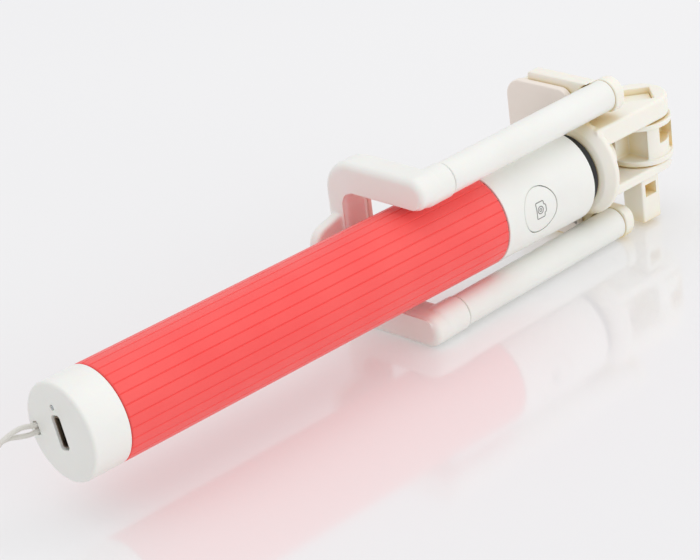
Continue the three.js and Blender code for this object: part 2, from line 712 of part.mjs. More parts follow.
// The ring on each rod's front end that the return spring pushes against.
function rodStop(side) {
  const ring = tube(ROD_END - STOP_LENGTH, ROD_END, SLEEVE_BORE - GAP, ROD_RADIUS + GAP, 20);
  return ring.translate(0, ARM_Y, side * ARM_Z);
}

class Helix extends THREE.Curve {
  constructor(x0, x1, radius, turns) {
    super();
    Object.assign(this, { x0, x1, radius, turns });
  }

  getPoint(t, target = new THREE.Vector3()) {
    const angle = 2 * Math.PI * this.turns * t;
    const x = THREE.MathUtils.lerp(this.x0, this.x1, t);
    return target.set(x, this.radius * Math.cos(angle), this.radius * Math.sin(angle));
  }
}

function returnSpring(side) {
  const margin = GAP + SPRING_WIRE;
  const start = BUSH_START + BUSH_LENGTH + margin;
  const end = ROD_END - STOP_LENGTH - margin;
  const coil = new Helix(start, end, SPRING_RADIUS, SPRING_TURNS);
  return wire(coil, SPRING_WIRE, SPRING_TURNS * 8, 6).translate(0, ARM_Y, side * ARM_Z);
}

function clampGroup() {
  const clamp = new THREE.Group();
  clamp.position.set(HINGE_X, 0, 0);
  clamp.rotation.z = FOLD_ANGLE;
  clamp.add(
    piece('jaw_frame', jawFrame(), creamShell),
    piece('jaw_pad', jawPad(), softPad),
    piece('knuckle', knuckle(), creamShell),
    piece('knuckle_screw_1', knuckleScrew(1), steel),
    piece('knuckle_screw_2', knuckleScrew(-1), steel),
    piece('bow', bow(), whiteShell),
    piece('bow_pad', bowPad(), softPad),
  );
  for (const [label, side] of [['upper', 1], ['lower', -1]]) {
    clamp.add(
      piece(`sleeve_${label}`, sleeve(side), whiteShell),
      piece(`sleeve_bush_${label}`, sleeveBush(side), blackPlastic),
      piece(`rod_${label}`, slidingRod(side), steel),
      piece(`rod_stop_${label}`, rodStop(side), blackPlastic),
      piece(`return_spring_${label}`, returnSpring(side), springSteel),
    );
  }
  return clamp;
}

// ---------------------------------------------------------------- wrist strap

// Both strands leave the eyelet in the cap, droop, and run along the surface to the hank.
const STRAP_OUT = [
  [2.6, 9.3, 22.05],
  [-0.6, 9.3, 22.2],
  [-4.0, 9.5, 23.0],
  [-7.4, 9.9, 22.4],
  [-10.4, 10.4, 20.8],
  [-13.8, 10.2, 17.3],
  [-17.4, 9.4, 12.8],
  [-20.8, 8.5, 8.4],
  [-24.2, 7.5, 4.6],
  [-27.6, 6.5, 2.0],
  [-31.0, 5.8, 0.85],
  [-34.4, 5.5, 0.64],
];

const STRAP_BACK = [
  [2.6, 9.2, 20.65],
  [-1.6, 9.2, 20.5],
  [-4.4, 9.7, 20.9],
  [-7.0, 10.9, 21.2],
  [-9.6, 11.9, 20.3],
  [-12.6, 12.8, 17.8],
  [-16.0, 13.7, 13.8],
  [-19.6, 14.5, 9.5],
  [-23.4, 15.2, 5.8],
  [-27.2, 15.7, 3.3],
  [-31.0, 15.9, 2.15],
  [-34.4, 15.875, 1.84],
];

const HANK_START = -34.7; // the hank reaches from here towards -X
const HANK_RUN = 20;
const HANK_RADIUS = 6.15;
const HANK_Y = 11;
const HANK_TOP = 2.46;
const TIE_WIDTH = 3;
const TIE_WALL = 0.5;

function strand(points) {
  const curve = new THREE.CatmullRomCurve3(points.map((p) => new THREE.Vector3(...p)));
  return wire(curve, STRAP_RADIUS, 26, 8);
}

// The rest of the strap is folded into a flat hank with round ends, two cords thick.
function strapHank() {
  const shape = new THREE.Shape();
  shape.moveTo(0, -HANK_RADIUS);
  shape.lineTo(HANK_RUN, -HANK_RADIUS);
  shape.absarc(HANK_RUN, 0, HANK_RADIUS, -Math.PI / 2, Math.PI / 2);
  shape.lineTo(0, HANK_RADIUS);
  shape.absarc(0, 0, HANK_RADIUS, Math.PI / 2, 1.5 * Math.PI);
  const x0 = HANK_START - HANK_RADIUS - HANK_RUN;
  return alongZ(shape, 0.03, HANK_TOP, 0, 10).translate(x0, HANK_Y, 0);
}

// A clip over the middle of the hank.
function strapTie() {
  const middle = HANK_START - HANK_RADIUS - HANK_RUN / 2;
  const [x0, x1] = [middle - TIE_WIDTH / 2, middle + TIE_WIDTH / 2];
  const inner = HANK_RADIUS + GAP;
  const outer = inner + TIE_WALL;
  const top = HANK_TOP + GAP;
  const band = box(x0, x1, HANK_Y - outer, HANK_Y + outer, 0, top + TIE_WALL);
  return cut(band, box(x0 - 1, x1 + 1, HANK_Y - inner, HANK_Y + inner, -1, top));
}

// ---------------------------------------------------------------- assembly

const stick = new THREE.Group();
stick.position.z = AXIS_HEIGHT;
stick.add(
  ...handlePieces(),
  ...polePieces(),
  piece('fork', fork(), creamShell),
  piece('hinge_bolt', hingeBolt(), steel),
  piece('hinge_nut', hingeNut(), steel),
  piece('hinge_plug', hingePlug(), creamShell),
  piece('hinge_post', hingePost(), creamShell),
  clampGroup(),
);

const layout = new THREE.Group();
layout.position.set(-(HINGE_X + EAR_RADIUS) / 2, -WIDTH_MIDDLE, 0);
layout.add(
  stick,
  piece('strap_cord_out', strand(STRAP_OUT), strapNylon),
  piece('strap_cord_back', strand(STRAP_BACK), strapNylon),
  piece('strap_hank', strapHank(), strapNylon),
  piece('strap_tie', strapTie(), blackPlastic),
);

const selfieStick = new THREE.Group();
selfieStick.add(layout);

export default selfieStick;
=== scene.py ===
import json
import math

import bmesh
import bpy
from mathutils import Matrix, Vector


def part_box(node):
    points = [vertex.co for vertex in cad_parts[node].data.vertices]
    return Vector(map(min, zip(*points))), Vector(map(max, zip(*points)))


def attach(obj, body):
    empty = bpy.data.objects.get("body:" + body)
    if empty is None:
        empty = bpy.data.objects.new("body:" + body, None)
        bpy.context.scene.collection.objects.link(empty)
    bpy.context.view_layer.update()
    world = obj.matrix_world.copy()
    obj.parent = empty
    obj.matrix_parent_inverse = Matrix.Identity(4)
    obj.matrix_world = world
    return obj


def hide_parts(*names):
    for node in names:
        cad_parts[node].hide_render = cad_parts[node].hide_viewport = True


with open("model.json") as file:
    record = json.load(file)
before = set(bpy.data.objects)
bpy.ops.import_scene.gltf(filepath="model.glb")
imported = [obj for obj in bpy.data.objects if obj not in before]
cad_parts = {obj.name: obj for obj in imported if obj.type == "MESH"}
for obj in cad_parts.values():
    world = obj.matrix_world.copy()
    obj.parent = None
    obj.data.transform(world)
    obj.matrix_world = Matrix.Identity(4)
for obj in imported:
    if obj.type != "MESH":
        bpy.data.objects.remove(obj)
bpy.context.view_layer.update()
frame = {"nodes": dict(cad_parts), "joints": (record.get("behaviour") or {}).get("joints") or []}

# A folded telescopic selfie stick. Pieces are drawn in millimetres in one of four local frames
# and placed in the row frame, in metres.

MM = 0.001

# ---------------------------------------------------------------- local frames and sizes


def joint(name):
    return next(j for j in frame["joints"] if j["name"] == name)


def middle(node):
    low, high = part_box(node)
    return (low + high) / 2


def measured(node, place):
    """Lowest and highest corner of a CAD node in a local frame, in millimetres."""
    inverse = place.inverted()
    corners = [inverse @ v.co / MM for v in frame["nodes"][node].data.vertices]
    low = Vector([min(c[i] for c in corners) for i in range(3)])
    high = Vector([max(c[i] for c in corners) for i in range(3)])
    return low, high


grip_middle = middle("grip_sleeve")
cap_face = Vector((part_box("end_cap")[0].x, grip_middle.y, grip_middle.z))
led_offset = middle("status_led") - cap_face
press_axis = joint("shutter_press")["axis"]
slide_axis = joint("bow_slide")["axis"]

# The stick's frame starts at the end cap's face. The cap and the controls are turned about the
# stick, and the clamp's frame starts at its hinge and is turned by the folding angle.
STICK = Matrix.Translation(cap_face)
CAP = STICK @ Matrix.Rotation(math.atan2(-led_offset.y, led_offset.z), 4, "X")
CONTROLS = STICK @ Matrix.Rotation(math.atan2(press_axis[2], press_axis[1]), 4, "X")
HINGE = Matrix.Translation(joint("clamp_hinge")["pos_m"])
CLAMP = HINGE @ Matrix.Rotation(math.atan2(-slide_axis[1], -slide_axis[0]), 4, "Z")

GAP = 0.3  # clearance between separate pieces
AXIS_HEIGHT = cap_face.z / MM
GRIP_LOW, GRIP_HIGH = measured("grip_sleeve", STICK)
HANDLE_RADIUS = measured("control_head", STICK)[1].z
HEAD_LOW, HEAD_HIGH = measured("control_head", STICK)
CAP_LENGTH = GRIP_LOW.x - GAP
COLLAR_HIGH = measured("collar_ring", STICK)[1]
HINGE_X = (joint("clamp_hinge")["pos_m"][0] - cap_face.x) / MM
CORE_LOW, CORE_HIGH = measured("grip_core", STICK)
BUTTON_LOW, BUTTON_HIGH = measured("shutter_button", CONTROLS)
BUTTON_X = (BUTTON_LOW.x + BUTTON_HIGH.x) / 2
BUTTON_RADIUS = (BUTTON_HIGH.x - BUTTON_LOW.x) / 2
SLEEVE_LOW, SLEEVE_HIGH = measured("sleeve_upper", CLAMP)
SLEEVE_RADIUS = (SLEEVE_HIGH.y - SLEEVE_LOW.y) / 2
ARM_Y = (SLEEVE_LOW.y + SLEEVE_HIGH.y) / 2
ARM_Z = (SLEEVE_LOW.z + SLEEVE_HIGH.z) / 2
PAD_LOW, PAD_HIGH = measured("jaw_pad", CLAMP)
JAW_BACK = SLEEVE_HIGH.x + 1.6  # the spigots end this far inside the jaw's caps
SLEEVE_SEAM = SLEEVE_HIGH.x - 2.0
SIDES = {"upper": 1, "lower": -1}

# ---------------------------------------------------------------- camera

CAMERA_PLACE = Vector((-0.371093, -0.428715, 0.283060))
CAMERA_RIGHT = Vector((0.72131, -0.68226, -0.11929))
CAMERA_UP = Vector((0.37139, 0.23561, 0.89809))
CAMERA_LENS = 128.92


def make_camera():
    data = bpy.data.cameras.new("camera")
    data.lens = CAMERA_LENS
    data.sensor_width = 36
    data.clip_start = 0.01
    camera = bpy.data.objects.new("camera", data)
    back = CAMERA_RIGHT.cross(CAMERA_UP)
    turn = Matrix((CAMERA_RIGHT, CAMERA_UP, back)).transposed()
    camera.matrix_world = Matrix.Translation(CAMERA_PLACE) @ turn.to_4x4()
    bpy.context.scene.collection.objects.link(camera)
    bpy.context.scene.camera = camera


make_camera()

# ---------------------------------------------------------------- materials


def linear(red, green, blue):
    """A colour given in sRGB, 0 to 255, as linear RGBA."""
    parts = [c / 255 for c in (red, green, blue)]
    return (*[c / 12.92 if c < 0.04045 else ((c + 0.055) / 1.055) ** 2.4 for c in parts], 1)


class Finish:
    """A procedural material: nodes are added by name, and links are made by socket."""

    def __init__(self, name, **constants):
        self.material = bpy.data.materials.new(name)
        self.material.use_nodes = True
        self.tree = self.material.node_tree
        self.shader = self.tree.nodes["Principled BSDF"]
        for socket, value in constants.items():
            self.shader.inputs[socket.replace("_", " ")].default_value = value

    def node(self, kind, inputs=None, **settings):
        made = self.tree.nodes.new("ShaderNode" + kind)
        for key, value in settings.items():
            setattr(made, key, value)
        for socket, value in (inputs or {}).items():
            if isinstance(value, bpy.types.NodeSocket):
                self.tree.links.new(value, made.inputs[socket])
            else:
                made.inputs[socket].default_value = value
        return made

    def set(self, socket, value):
        self.tree.links.new(value, self.shader.inputs[socket])

    def place(self, stretch=(1, 1, 1)):
        coordinates = self.node("TexCoord").outputs["Object"]
        return self.node("Mapping", {"Vector": coordinates, "Scale": stretch}).outputs["Vector"]

    def noise(self, scale, detail=3, stretch=(1, 1, 1)):
        inputs = {"Vector": self.place(stretch), "Scale": scale, "Detail": detail}
        return self.node("TexNoise", inputs).outputs["Fac"]

    def mix(self, factor, first, second):
        inputs = {0: factor, 6: first, 7: second}
        return self.node("Mix", inputs, data_type="RGBA").outputs[2]

    def spread(self, factor, low, high, start=0.3, end=0.7):
        inputs = {0: factor, 1: start, 2: end, 3: low, 4: high}
        return self.node("MapRange", inputs).outputs[0]

    def bump(self, height, distance, strength=1.0):
        inputs = {"Height": height, "Distance": distance, "Strength": strength}
        self.set("Normal", self.node("Bump", inputs).outputs["Normal"])


def moulded(name, light, shade, roughness, grain=5000, depth=0.000012, deep=None, **constants):
    """Moulded plastic or rubber: slow colour mottling, uneven gloss and a fine surface grain;
    given deep, also painted shade: colour turned towards deep in hollows and between parts.
    """
    made = Finish(name, **constants)
    colour = made.mix(made.spread(made.noise(45, 4), 0, 1), light, shade)
    if deep:
        # Painted shade: ambient occlusion turns the colour towards deep in hollows, creases and
        # gaps between parts.
        painted_shade_mask = made.node("AmbientOcclusion", {"Distance": 0.007}, samples=12).outputs["AO"]
        colour = made.mix(made.spread(painted_shade_mask, 0.9, 0, 0.12, 0.74), colour, deep)
    made.set("Base Color", colour)
    made.set("Roughness", made.spread(made.noise(160, 5), roughness - 0.04, roughness + 0.06))
    made.bump(made.noise(grain, 2), depth)
    return made.material


def brushed(name, light, shade, roughness, stretch):
    """Drawn steel, with fine lines along the piece."""
    made = Finish(name, Metallic=1.0, Anisotropic=0.4)
    lines = made.noise(2600, 4, stretch)
    made.set("Base Color", made.mix(made.spread(made.noise(70), 0, 1), light, shade))
    made.set("Roughness", made.spread(lines, roughness - 0.06, roughness + 0.1))
    made.bump(lines, 0.000006)
    return made.material


def braided(name, light, shade):
    """Braided cord: strands cross along the tube's own coordinates."""
    made = Finish(name, Roughness=0.8, Sheen_Weight=0.25)
    coordinates = made.node("TexCoord").outputs["UV"]
    height = None
    for angle in (0.6, -0.6):
        turn = {"Vector": coordinates, "Rotation": (0, 0, angle)}
        turned = made.node("Mapping", turn).outputs["Vector"]
        wave = made.node("TexWave", {"Vector": turned, "Scale": 0.9}, bands_direction="X")
        strands = wave.outputs["Fac"]
        if height is None:
            height = strands
        else:
            height = made.node("Math", {0: height, 1: strands}, operation="MULTIPLY").outputs[0]
    # Painted shade: the cord is darker where the strands dip between one another.
    made.set("Base Color", made.mix(height, shade, light))
    made.bump(height, 0.00008)
    return made.material


def circuit(name, light, shade):
    """Solder mask over copper tracks."""
    made = Finish(name, Roughness=0.35)
    cells = made.node("TexVoronoi", {"Vector": made.place(), "Scale": 700}, distance="MANHATTAN")
    tracks = made.spread(cells.outputs["Distance"], 1, 0, 0.1, 0.2)
    made.set("Base Color", made.mix(tracks, shade, light))
    made.bump(tracks, 0.00003)
    return made.material


MATERIALS = {
    "white_shell": moulded(
        "white_shell", linear(246, 246, 241), linear(241, 241, 235), 0.34,
        Subsurface_Weight=0.06, Subsurface_Scale=0.002, Coat_Weight=0.15, Coat_Roughness=0.2,
    ),
    "cream_shell": moulded(
        "cream_shell", linear(250, 247, 237), linear(247, 243, 230), 0.36,
        # deep: the amber of the painted shade in the cream shell's hollows and gaps.
        deep=linear(242, 216, 146),
        Subsurface_Weight=0.12, Subsurface_Scale=0.002, Coat_Weight=0.12, Coat_Roughness=0.2,
    ),
    "coral_rubber": moulded(
        "coral_rubber", linear(255, 96, 92), linear(252, 84, 82), 0.46, 6500, 0.00002,
        Sheen_Weight=0.15, Sheen_Roughness=0.4,
    ),
    "black_plastic": moulded("black_plastic", linear(32, 32, 34), linear(22, 22, 24), 0.45),
    "grey_core": moulded("grey_core", linear(150, 152, 156), linear(138, 141, 146), 0.55),
    "steel": brushed("steel", linear(212, 214, 218), linear(198, 200, 205), 0.26, (0.03, 1, 1)),
    "spring_steel": brushed(
        "spring_steel", linear(186, 189, 194), linear(168, 171, 177), 0.32, (1, 1, 1)
    ),
    "soft_pad": moulded(
        "soft_pad", linear(250, 241, 231), linear(246, 236, 226), 0.62, 3800, 0.00003,
        Sheen_Weight=0.1,
    ),
    "board_green": circuit("board_green", linear(46, 128, 72), linear(22, 84, 46)),
    "cell_blue": moulded("cell_blue", linear(66, 108, 180), linear(50, 92, 166), 0.3),
    "led_lens": moulded(
        "led_lens", linear(228, 236, 240), linear(214, 226, 232), 0.2, Transmission_Weight=0.4
    ),
    "strap_nylon": braided("strap_nylon", linear(252, 250, 244), linear(240, 237, 228)),
    "ink": moulded("ink", linear(146, 147, 142), linear(136, 137, 133), 0.5),
    # Painted shade: steel darkened and browned to the tone of the shade inside the charging slot.
    "painted_shade_steel": brushed(
        "painted_shade_steel", linear(150, 134, 116), linear(128, 114, 100), 0.38, (1, 1, 1)
    ),
    "contact_gold": brushed(
        "contact_gold", linear(232, 196, 120), linear(214, 174, 96), 0.3, (1, 1, 1)
    ),
}

# ---------------------------------------------------------------- mesh helpers


def new_object(name, vertices, faces):
    mesh = bpy.data.meshes.new(name)
    mesh.from_pydata([tuple(v) for v in vertices], [], faces)
    shape = bmesh.new()
    shape.from_mesh(mesh)
    bmesh.ops.recalc_face_normals(shape, faces=shape.faces)
    shape.to_mesh(mesh)
    shape.free()
    made = bpy.data.objects.new(name, mesh)
    bpy.context.scene.collection.objects.link(made)
    return made


def rounded(corners, steps=7):
    """A closed outline through (a, b, radius) corners, each rounded off to its radius."""
    points = []
    for i, (a, b, radius) in enumerate(corners):
        here = Vector((a, b))
        if radius == 0:
            points.append(here)
            continue
        before = (Vector(corners[i - 1][:2]) - here).normalized()
        after = (Vector(corners[(i + 1) % len(corners)][:2]) - here).normalized()
        half = before.angle(after) / 2
        reach = radius / math.tan(half)
        centre = here + (before + after).normalized() * radius / math.sin(half)
        start = here + before * reach - centre
        end = here + after * reach - centre
        turn = math.atan2(start.x * end.y - start.y * end.x, start.dot(end))
        for k in range(steps + 1):
            points.append(centre + Matrix.Rotation(turn * k / steps, 2) @ start)
    return points


def circle(radius, a=0.0, b=0.0, steps=96):
    turns = [2 * math.pi * k / steps for k in range(steps)]
    return [Vector((a + radius * math.cos(t), b + radius * math.sin(t))) for t in turns]


def slot_outline(half_width, half_height):
    radius = half_width * 0.55
    corners = [(-1, -1), (1, -1), (1, 1), (-1, 1)]
    return rounded([(a * half_width, b * half_height, radius) for a, b in corners])


def lathe(name, corners, segments=144, steps=6):
    """Revolves a closed outline of (x, radius, rounding) corners about the X axis."""
    outline = rounded(corners, steps)
    vertices, rings = [], []
    for x, radius in outline:
        start = len(vertices)
        if radius < 1e-5:
            vertices.append((x, 0, 0))
            rings.append([start] * segments)
            continue
        for k in range(segments):
            angle = 2 * math.pi * k / segments
            vertices.append((x, radius * math.cos(angle), radius * math.sin(angle)))
        rings.append(list(range(start, start + segments)))
    faces = []
    for ring, following in zip(rings, rings[1:] + rings[:1]):
        if ring[0] == ring[-1] and following[0] == following[-1]:
            continue
        for k in range(segments):
            other = (k + 1) % segments
            corners_of_face = [ring[k], ring[other], following[other], following[k]]
            faces.append(list(dict.fromkeys(corners_of_face)))
    return new_object(name, vertices, faces)


def inset(outline, distance):
    """The outline moved inwards by a distance, with its corners kept."""
    count = len(outline)
    area = sum(
        outline[k - 1][0] * outline[k][1] - outline[k][0] * outline[k - 1][1]
        for k in range(count)
    )
    side = math.copysign(distance, area)
    made = []
    for k in range(count):
        here = Vector(outline[k][:2])
        before = (here - Vector(outline[k - 1][:2])).normalized()
        after = (Vector(outline[(k + 1) % count][:2]) - here).normalized()
        across = Vector((-before.y - after.y, before.x + after.x)).normalized()
        lean = max(0.3, across.dot(Vector((-before.y, before.x))))
        made.append(here + across * side / lean)
    return made


def prism(name, outline, low, high, axis, edge=0.0, steps=5):
    """Extrudes a closed outline along X (drawn in Y, Z), Y (drawn in X, Z) or Z (drawn in X, Y),
    with its two rims rounded off by "edge"."""
    at = {
        "X": lambda p, h: (h, p[0], p[1]),
        "Y": lambda p, h: (p[0], h, p[1]),
        "Z": lambda p, h: (p[0], p[1], h),
    }[axis]
    turns = [math.pi / 2 * k / steps for k in range(steps + 1)] if edge else [math.pi / 2]
    rims = [(edge * (1 - math.sin(t)), edge * (1 - math.cos(t))) for t in turns]
    rings = [(low + deep, inset(outline, drawn_in)) for drawn_in, deep in rims]
    if not edge:
        rings = [(low, outline)]
    rings += [(high - (h - low), points) for h, points in reversed(rings)]
    count = len(outline)
    vertices = [at(p, h) for h, points in rings for p in points]
    last = (len(rings) - 1) * count
    faces = [list(range(count)), list(range(last, last + count))]
    for ring in range(len(rings) - 1):
        for k in range(count):
            other = (k + 1) % count
            a, b = ring * count, (ring + 1) * count
            faces.append([a + k, a + other, b + other, b + k])
    return new_object(name, vertices, faces)


def block(x0, x1, y0, y1, z0, z1):
    return prism("block", [(x0, y0), (x1, y0), (x1, y1), (x0, y1)], z0, z1, "Z")


def rod(x0, x1, radius, y=0.0, z=0.0):
    return prism("rod", circle(radius, y, z), x0, x1, "X")


def applied(obj):
    """Makes what the object's modifiers show its own mesh."""
    shown = obj.evaluated_get(bpy.context.evaluated_depsgraph_get())
    mesh = bpy.data.meshes.new_from_object(shown)
    obj.modifiers.clear()
    obj.data = mesh
    return obj


def combined(base, tools, operation):
    for tool in tools:
        step = base.modifiers.new(operation, "BOOLEAN")
        step.operation = operation
        step.solver = "MANIFOLD"
        step.object = tool
    applied(base)
    for tool in tools:
        bpy.data.objects.remove(tool)
    return base


def cut(base, *tools):
    return combined(base, tools, "DIFFERENCE")


def join(base, *tools):
    return combined(base, tools, "UNION")


def bevelled(obj, width, segments=4):
    step = obj.modifiers.new("bevel", "BEVEL")
    step.width = width
    step.segments = segments
    step.limit_method = "ANGLE"
    step.angle_limit = math.radians(40)
    step.use_clamp_overlap = True
    return applied(obj)


def fused(obj, voxel=0.25, passes=4):
    """Remakes a joined body as one skin with small fillets where its parts meet."""
    remesh = obj.modifiers.new("remesh", "REMESH")
    remesh.mode = "VOXEL"
    remesh.voxel_size = voxel
    smooth = obj.modifiers.new("smooth", "SMOOTH")
    smooth.factor = 0.5
    smooth.iterations = passes
    return applied(obj)


def finished(obj, name, place, body, slot, *nodes, material=None, crease=38):
    """Puts a piece in its place, on its body, with its material, and hides the CAD nodes it stands
    for.
    """
    obj.name = name
    obj.data.name = name
    obj.data.transform(place @ Matrix.Scale(MM, 4))
    obj.data.materials.clear()
    obj.data.materials.append(MATERIALS[material or slot])
    for face in obj.data.polygons:
        face.use_smooth = True
    obj.data.set_sharp_from_angle(angle=math.radians(crease))
    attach(obj, body)
    if nodes:
        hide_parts(*nodes)
    return obj


# ---------------------------------------------------------------- wrist strap

CORD_RADIUS = 0.6
STRAP_OUT = [
    (2.6, 9.3, 22.05),
    (-0.6, 9.3, 22.2),
    (-4.0, 9.5, 23.0),
    (-7.4, 9.9, 22.4),
    (-10.4, 10.4, 20.8),
    (-13.8, 10.2, 17.3),
    (-17.4, 9.4, 12.8),
    (-20.8, 8.5, 8.4),
    (-24.2, 7.5, 4.6),
    (-27.6, 6.5, 2.0),
    (-31.0, 5.8, 0.85),
    (-34.4, 5.5, 0.64),
]
STRAP_BACK = [
    (2.6, 9.2, 20.65),
    (-1.6, 9.2, 20.5),
    (-4.4, 9.7, 20.9),
    (-7.0, 10.9, 21.2),
    (-9.6, 11.9, 20.3),
    (-12.6, 12.8, 17.8),
    (-16.0, 13.7, 13.8),
    (-19.6, 14.5, 9.5),
    (-23.4, 15.2, 5.8),
    (-27.2, 15.7, 3.3),
    (-31.0, 15.9, 2.15),
    (-34.4, 15.875, 1.84),
]
HANK_LOW, HANK_HIGH = measured("strap_hank", Matrix.Translation((cap_face.x, cap_face.y, 0)))
HANK_RADIUS = (HANK_HIGH.y - HANK_LOW.y) / 2
HANK_Y = (HANK_HIGH.y + HANK_LOW.y) / 2
HANK_NEAR = HANK_HIGH.x - HANK_RADIUS  # centres of the hank's two round ends
HANK_FAR = HANK_LOW.x + HANK_RADIUS
LAYER = 2 * CORD_RADIUS
TURN_PITCH = LAYER + 0.05
OUTER_TURN = HANK_RADIUS - CORD_RADIUS - 0.05


def smooth_path(points, per_span=6):
    """Points along a Catmull-Rom curve through the given ones."""
    line = [Vector(p) for p in points]
    padded = [2 * line[0] - line[1], *line, 2 * line[-1] - line[-2]]
    made = []
    for a, b, c, d in zip(padded, padded[1:], padded[2:], padded[3:]):
        for k in range(per_span):
            t = k / per_span
            made.append(
                0.5 * (2 * b + (c - a) * t + (2 * a - 5 * b + 4 * c - d) * t**2
                       + (3 * b - a - 3 * c + d) * t**3)
            )
    made.append(line[-1])
    return made


def hank_turns():
    """Flat oval turns: inwards on the table for two turns, then outwards on top of them."""
    route = []
    steps = 20
    layers = [(0.64, OUTER_TURN, -1, 2.0), (0.64 + LAYER, OUTER_TURN - 2 * TURN_PITCH, 1, 1.5)]
    for height, start, direction, turns in layers:
        total = int(turns * 2 * steps)
        for k in range(total + 1):
            half_turn, share = divmod(k, steps)
            radius = start + direction * TURN_PITCH * k / (2 * steps)
            at_far_end = half_turn % 2 == 0
            angle = math.pi * share / steps
            centre = HANK_FAR if at_far_end else HANK_NEAR
            sign = 1 if at_far_end else -1
            x = centre - sign * radius * math.sin(angle)
            y = HANK_Y - sign * radius * math.cos(angle)
            climb = max(0.0, (k - 0.8 * total) / (0.2 * total)) if direction < 0 else 1.0
            z = height + (LAYER * climb if direction < 0 else 0.0)
            route.append(Vector((x, y, z)))
    return route


def strap_route():
    around_pin = Vector((4.7, 9.25, 21.35))
    out = smooth_path([around_pin, *STRAP_OUT])
    back = smooth_path([around_pin, *STRAP_BACK])
    return out + hank_turns() + back[::-1]


def evenly(points, step):
    """The same line with points a step apart."""
    made = [points[0]]
    left = step
    for start, end in zip(points, points[1:]):
        length = (end - start).length
        along = left
        while along <= length and length > 0:
            made.append(start.lerp(end, along / length))
            along += step
        left = along - length
    made.append(points[-1])
    return made


def tube_mesh(name, path, radius, sides=12):
    """A closed tube along a path, with UVs in cord diameters along it and strands round it."""
    vertices = []
    side = Vector((0, 1, 0))
    travelled = [0.0]
    for k, point in enumerate(path):
        ahead = (path[min(k + 1, len(path) - 1)] - path[max(k - 1, 0)]).normalized()
        side = (side - ahead * side.dot(ahead)).normalized()
        other = ahead.cross(side)
        for s in range(sides):
            angle = 2 * math.pi * s / sides
            vertices.append(point + radius * (side * math.cos(angle) + other * math.sin(angle)))
        if k:
            travelled.append(travelled[-1] + (point - path[k - 1]).length)
    faces = []
    for k in range(len(path) - 1):
        for s in range(sides):
            t = (s + 1) % sides
            faces.append([k * sides + s, k * sides + t, (k + 1) * sides + t, (k + 1) * sides + s])
    quads = len(faces)
    last = (len(path) - 1) * sides
    faces += [list(range(sides)), list(range(last, last + sides))]
    made = new_object(name, vertices, faces)
    uv = made.data.uv_layers.new(name="along")
    for index, face in enumerate(made.data.polygons):
        for loop in face.loop_indices:
            vertex = made.data.loops[loop].vertex_index
            ring, s = divmod(vertex, sides)
            around = sides if index < quads and s == 0 and index % sides == sides - 1 else s
            uv.data[loop].uv = (travelled[ring] / radius, around / sides * 4)
    return made


def make_strap():
    path = evenly(strap_route(), 0.75)
    cord = tube_mesh("wrist_strap", path, CORD_RADIUS)
    floor_under_cap = Matrix.Translation((cap_face.x, cap_face.y, 0))
    finished(
        cord, "wrist_strap", floor_under_cap, "handle", "strap_nylon",
        "strap_cord_out", "strap_cord_back", "strap_hank",
    )
    low, high = measured("strap_tie", floor_under_cap)
    inner = HANK_RADIUS + GAP
    tie = prism(
        "strap_tie_clip",
        rounded([
            (HANK_Y - inner - 0.5, 0.05, 0.1), (HANK_Y - inner, 0.05, 0.1),
            (HANK_Y - inner, high.z - 0.5, 0.5), (HANK_Y + inner, high.z - 0.5, 0.5),
            (HANK_Y + inner, 0.05, 0.1), (HANK_Y + inner + 0.5, 0.05, 0.1),
            (HANK_Y + inner + 0.5, high.z, 0.9), (HANK_Y - inner - 0.5, high.z, 0.9),
        ]),
        low.x, high.x, "X",
    )
    bevelled(tie, 0.12, 3)
    finished(tie, "strap_tie_clip", floor_under_cap, "handle", "black_plastic", "strap_tie")


make_strap()

# ---------------------------------------------------------------- end cap

CAP_EDGE = 0.9
CAP_WALL = 2.4
CAP_SPIGOT = 9.0
CAP_BORE = 7.6
SLOT_HALF = (1.7, 4.3)
SOCKET_HALF = (1.35, 3.8)
LED_Z = led_offset.yz.length / MM
LED_RADIUS = 0.6
EYELET = Vector((0.0, 9.4, 0.7))


def moved(outline, a, b):
    return [Vector((p[0] + a, p[1] + b)) for p in outline]


def make_end_cap():
    spigot_end = measured("end_cap", CAP)[1].x
    cap = lathe("end_cap_shell", [
        (0, 0, 0),
        (0, HANDLE_RADIUS, CAP_EDGE),
        (CAP_LENGTH, HANDLE_RADIUS, 0.25),
        (CAP_LENGTH, CAP_SPIGOT, 0),
        (spigot_end, CAP_SPIGOT, 0.4),
        (spigot_end, CAP_BORE, 0),
        (CAP_WALL, CAP_BORE, 0),
        (CAP_WALL, 0, 0),
    ], steps=10)
    slot = prism("slot", slot_outline(*SLOT_HALF), -1, 4, "X")
    led = prism("led", circle(LED_RADIUS + GAP / 2, 0, LED_Z, 32), -1, 4, "X")
    eyelet = prism("eyelet", moved(slot_outline(0.95, 1.75), EYELET.y, EYELET.z), -1, 5.2, "X")
    cut(cap, slot, led, eyelet)
    bevelled(cap, 0.16, 3)
    finished(cap, "end_cap_shell", CAP, "handle", "white_shell", "end_cap")


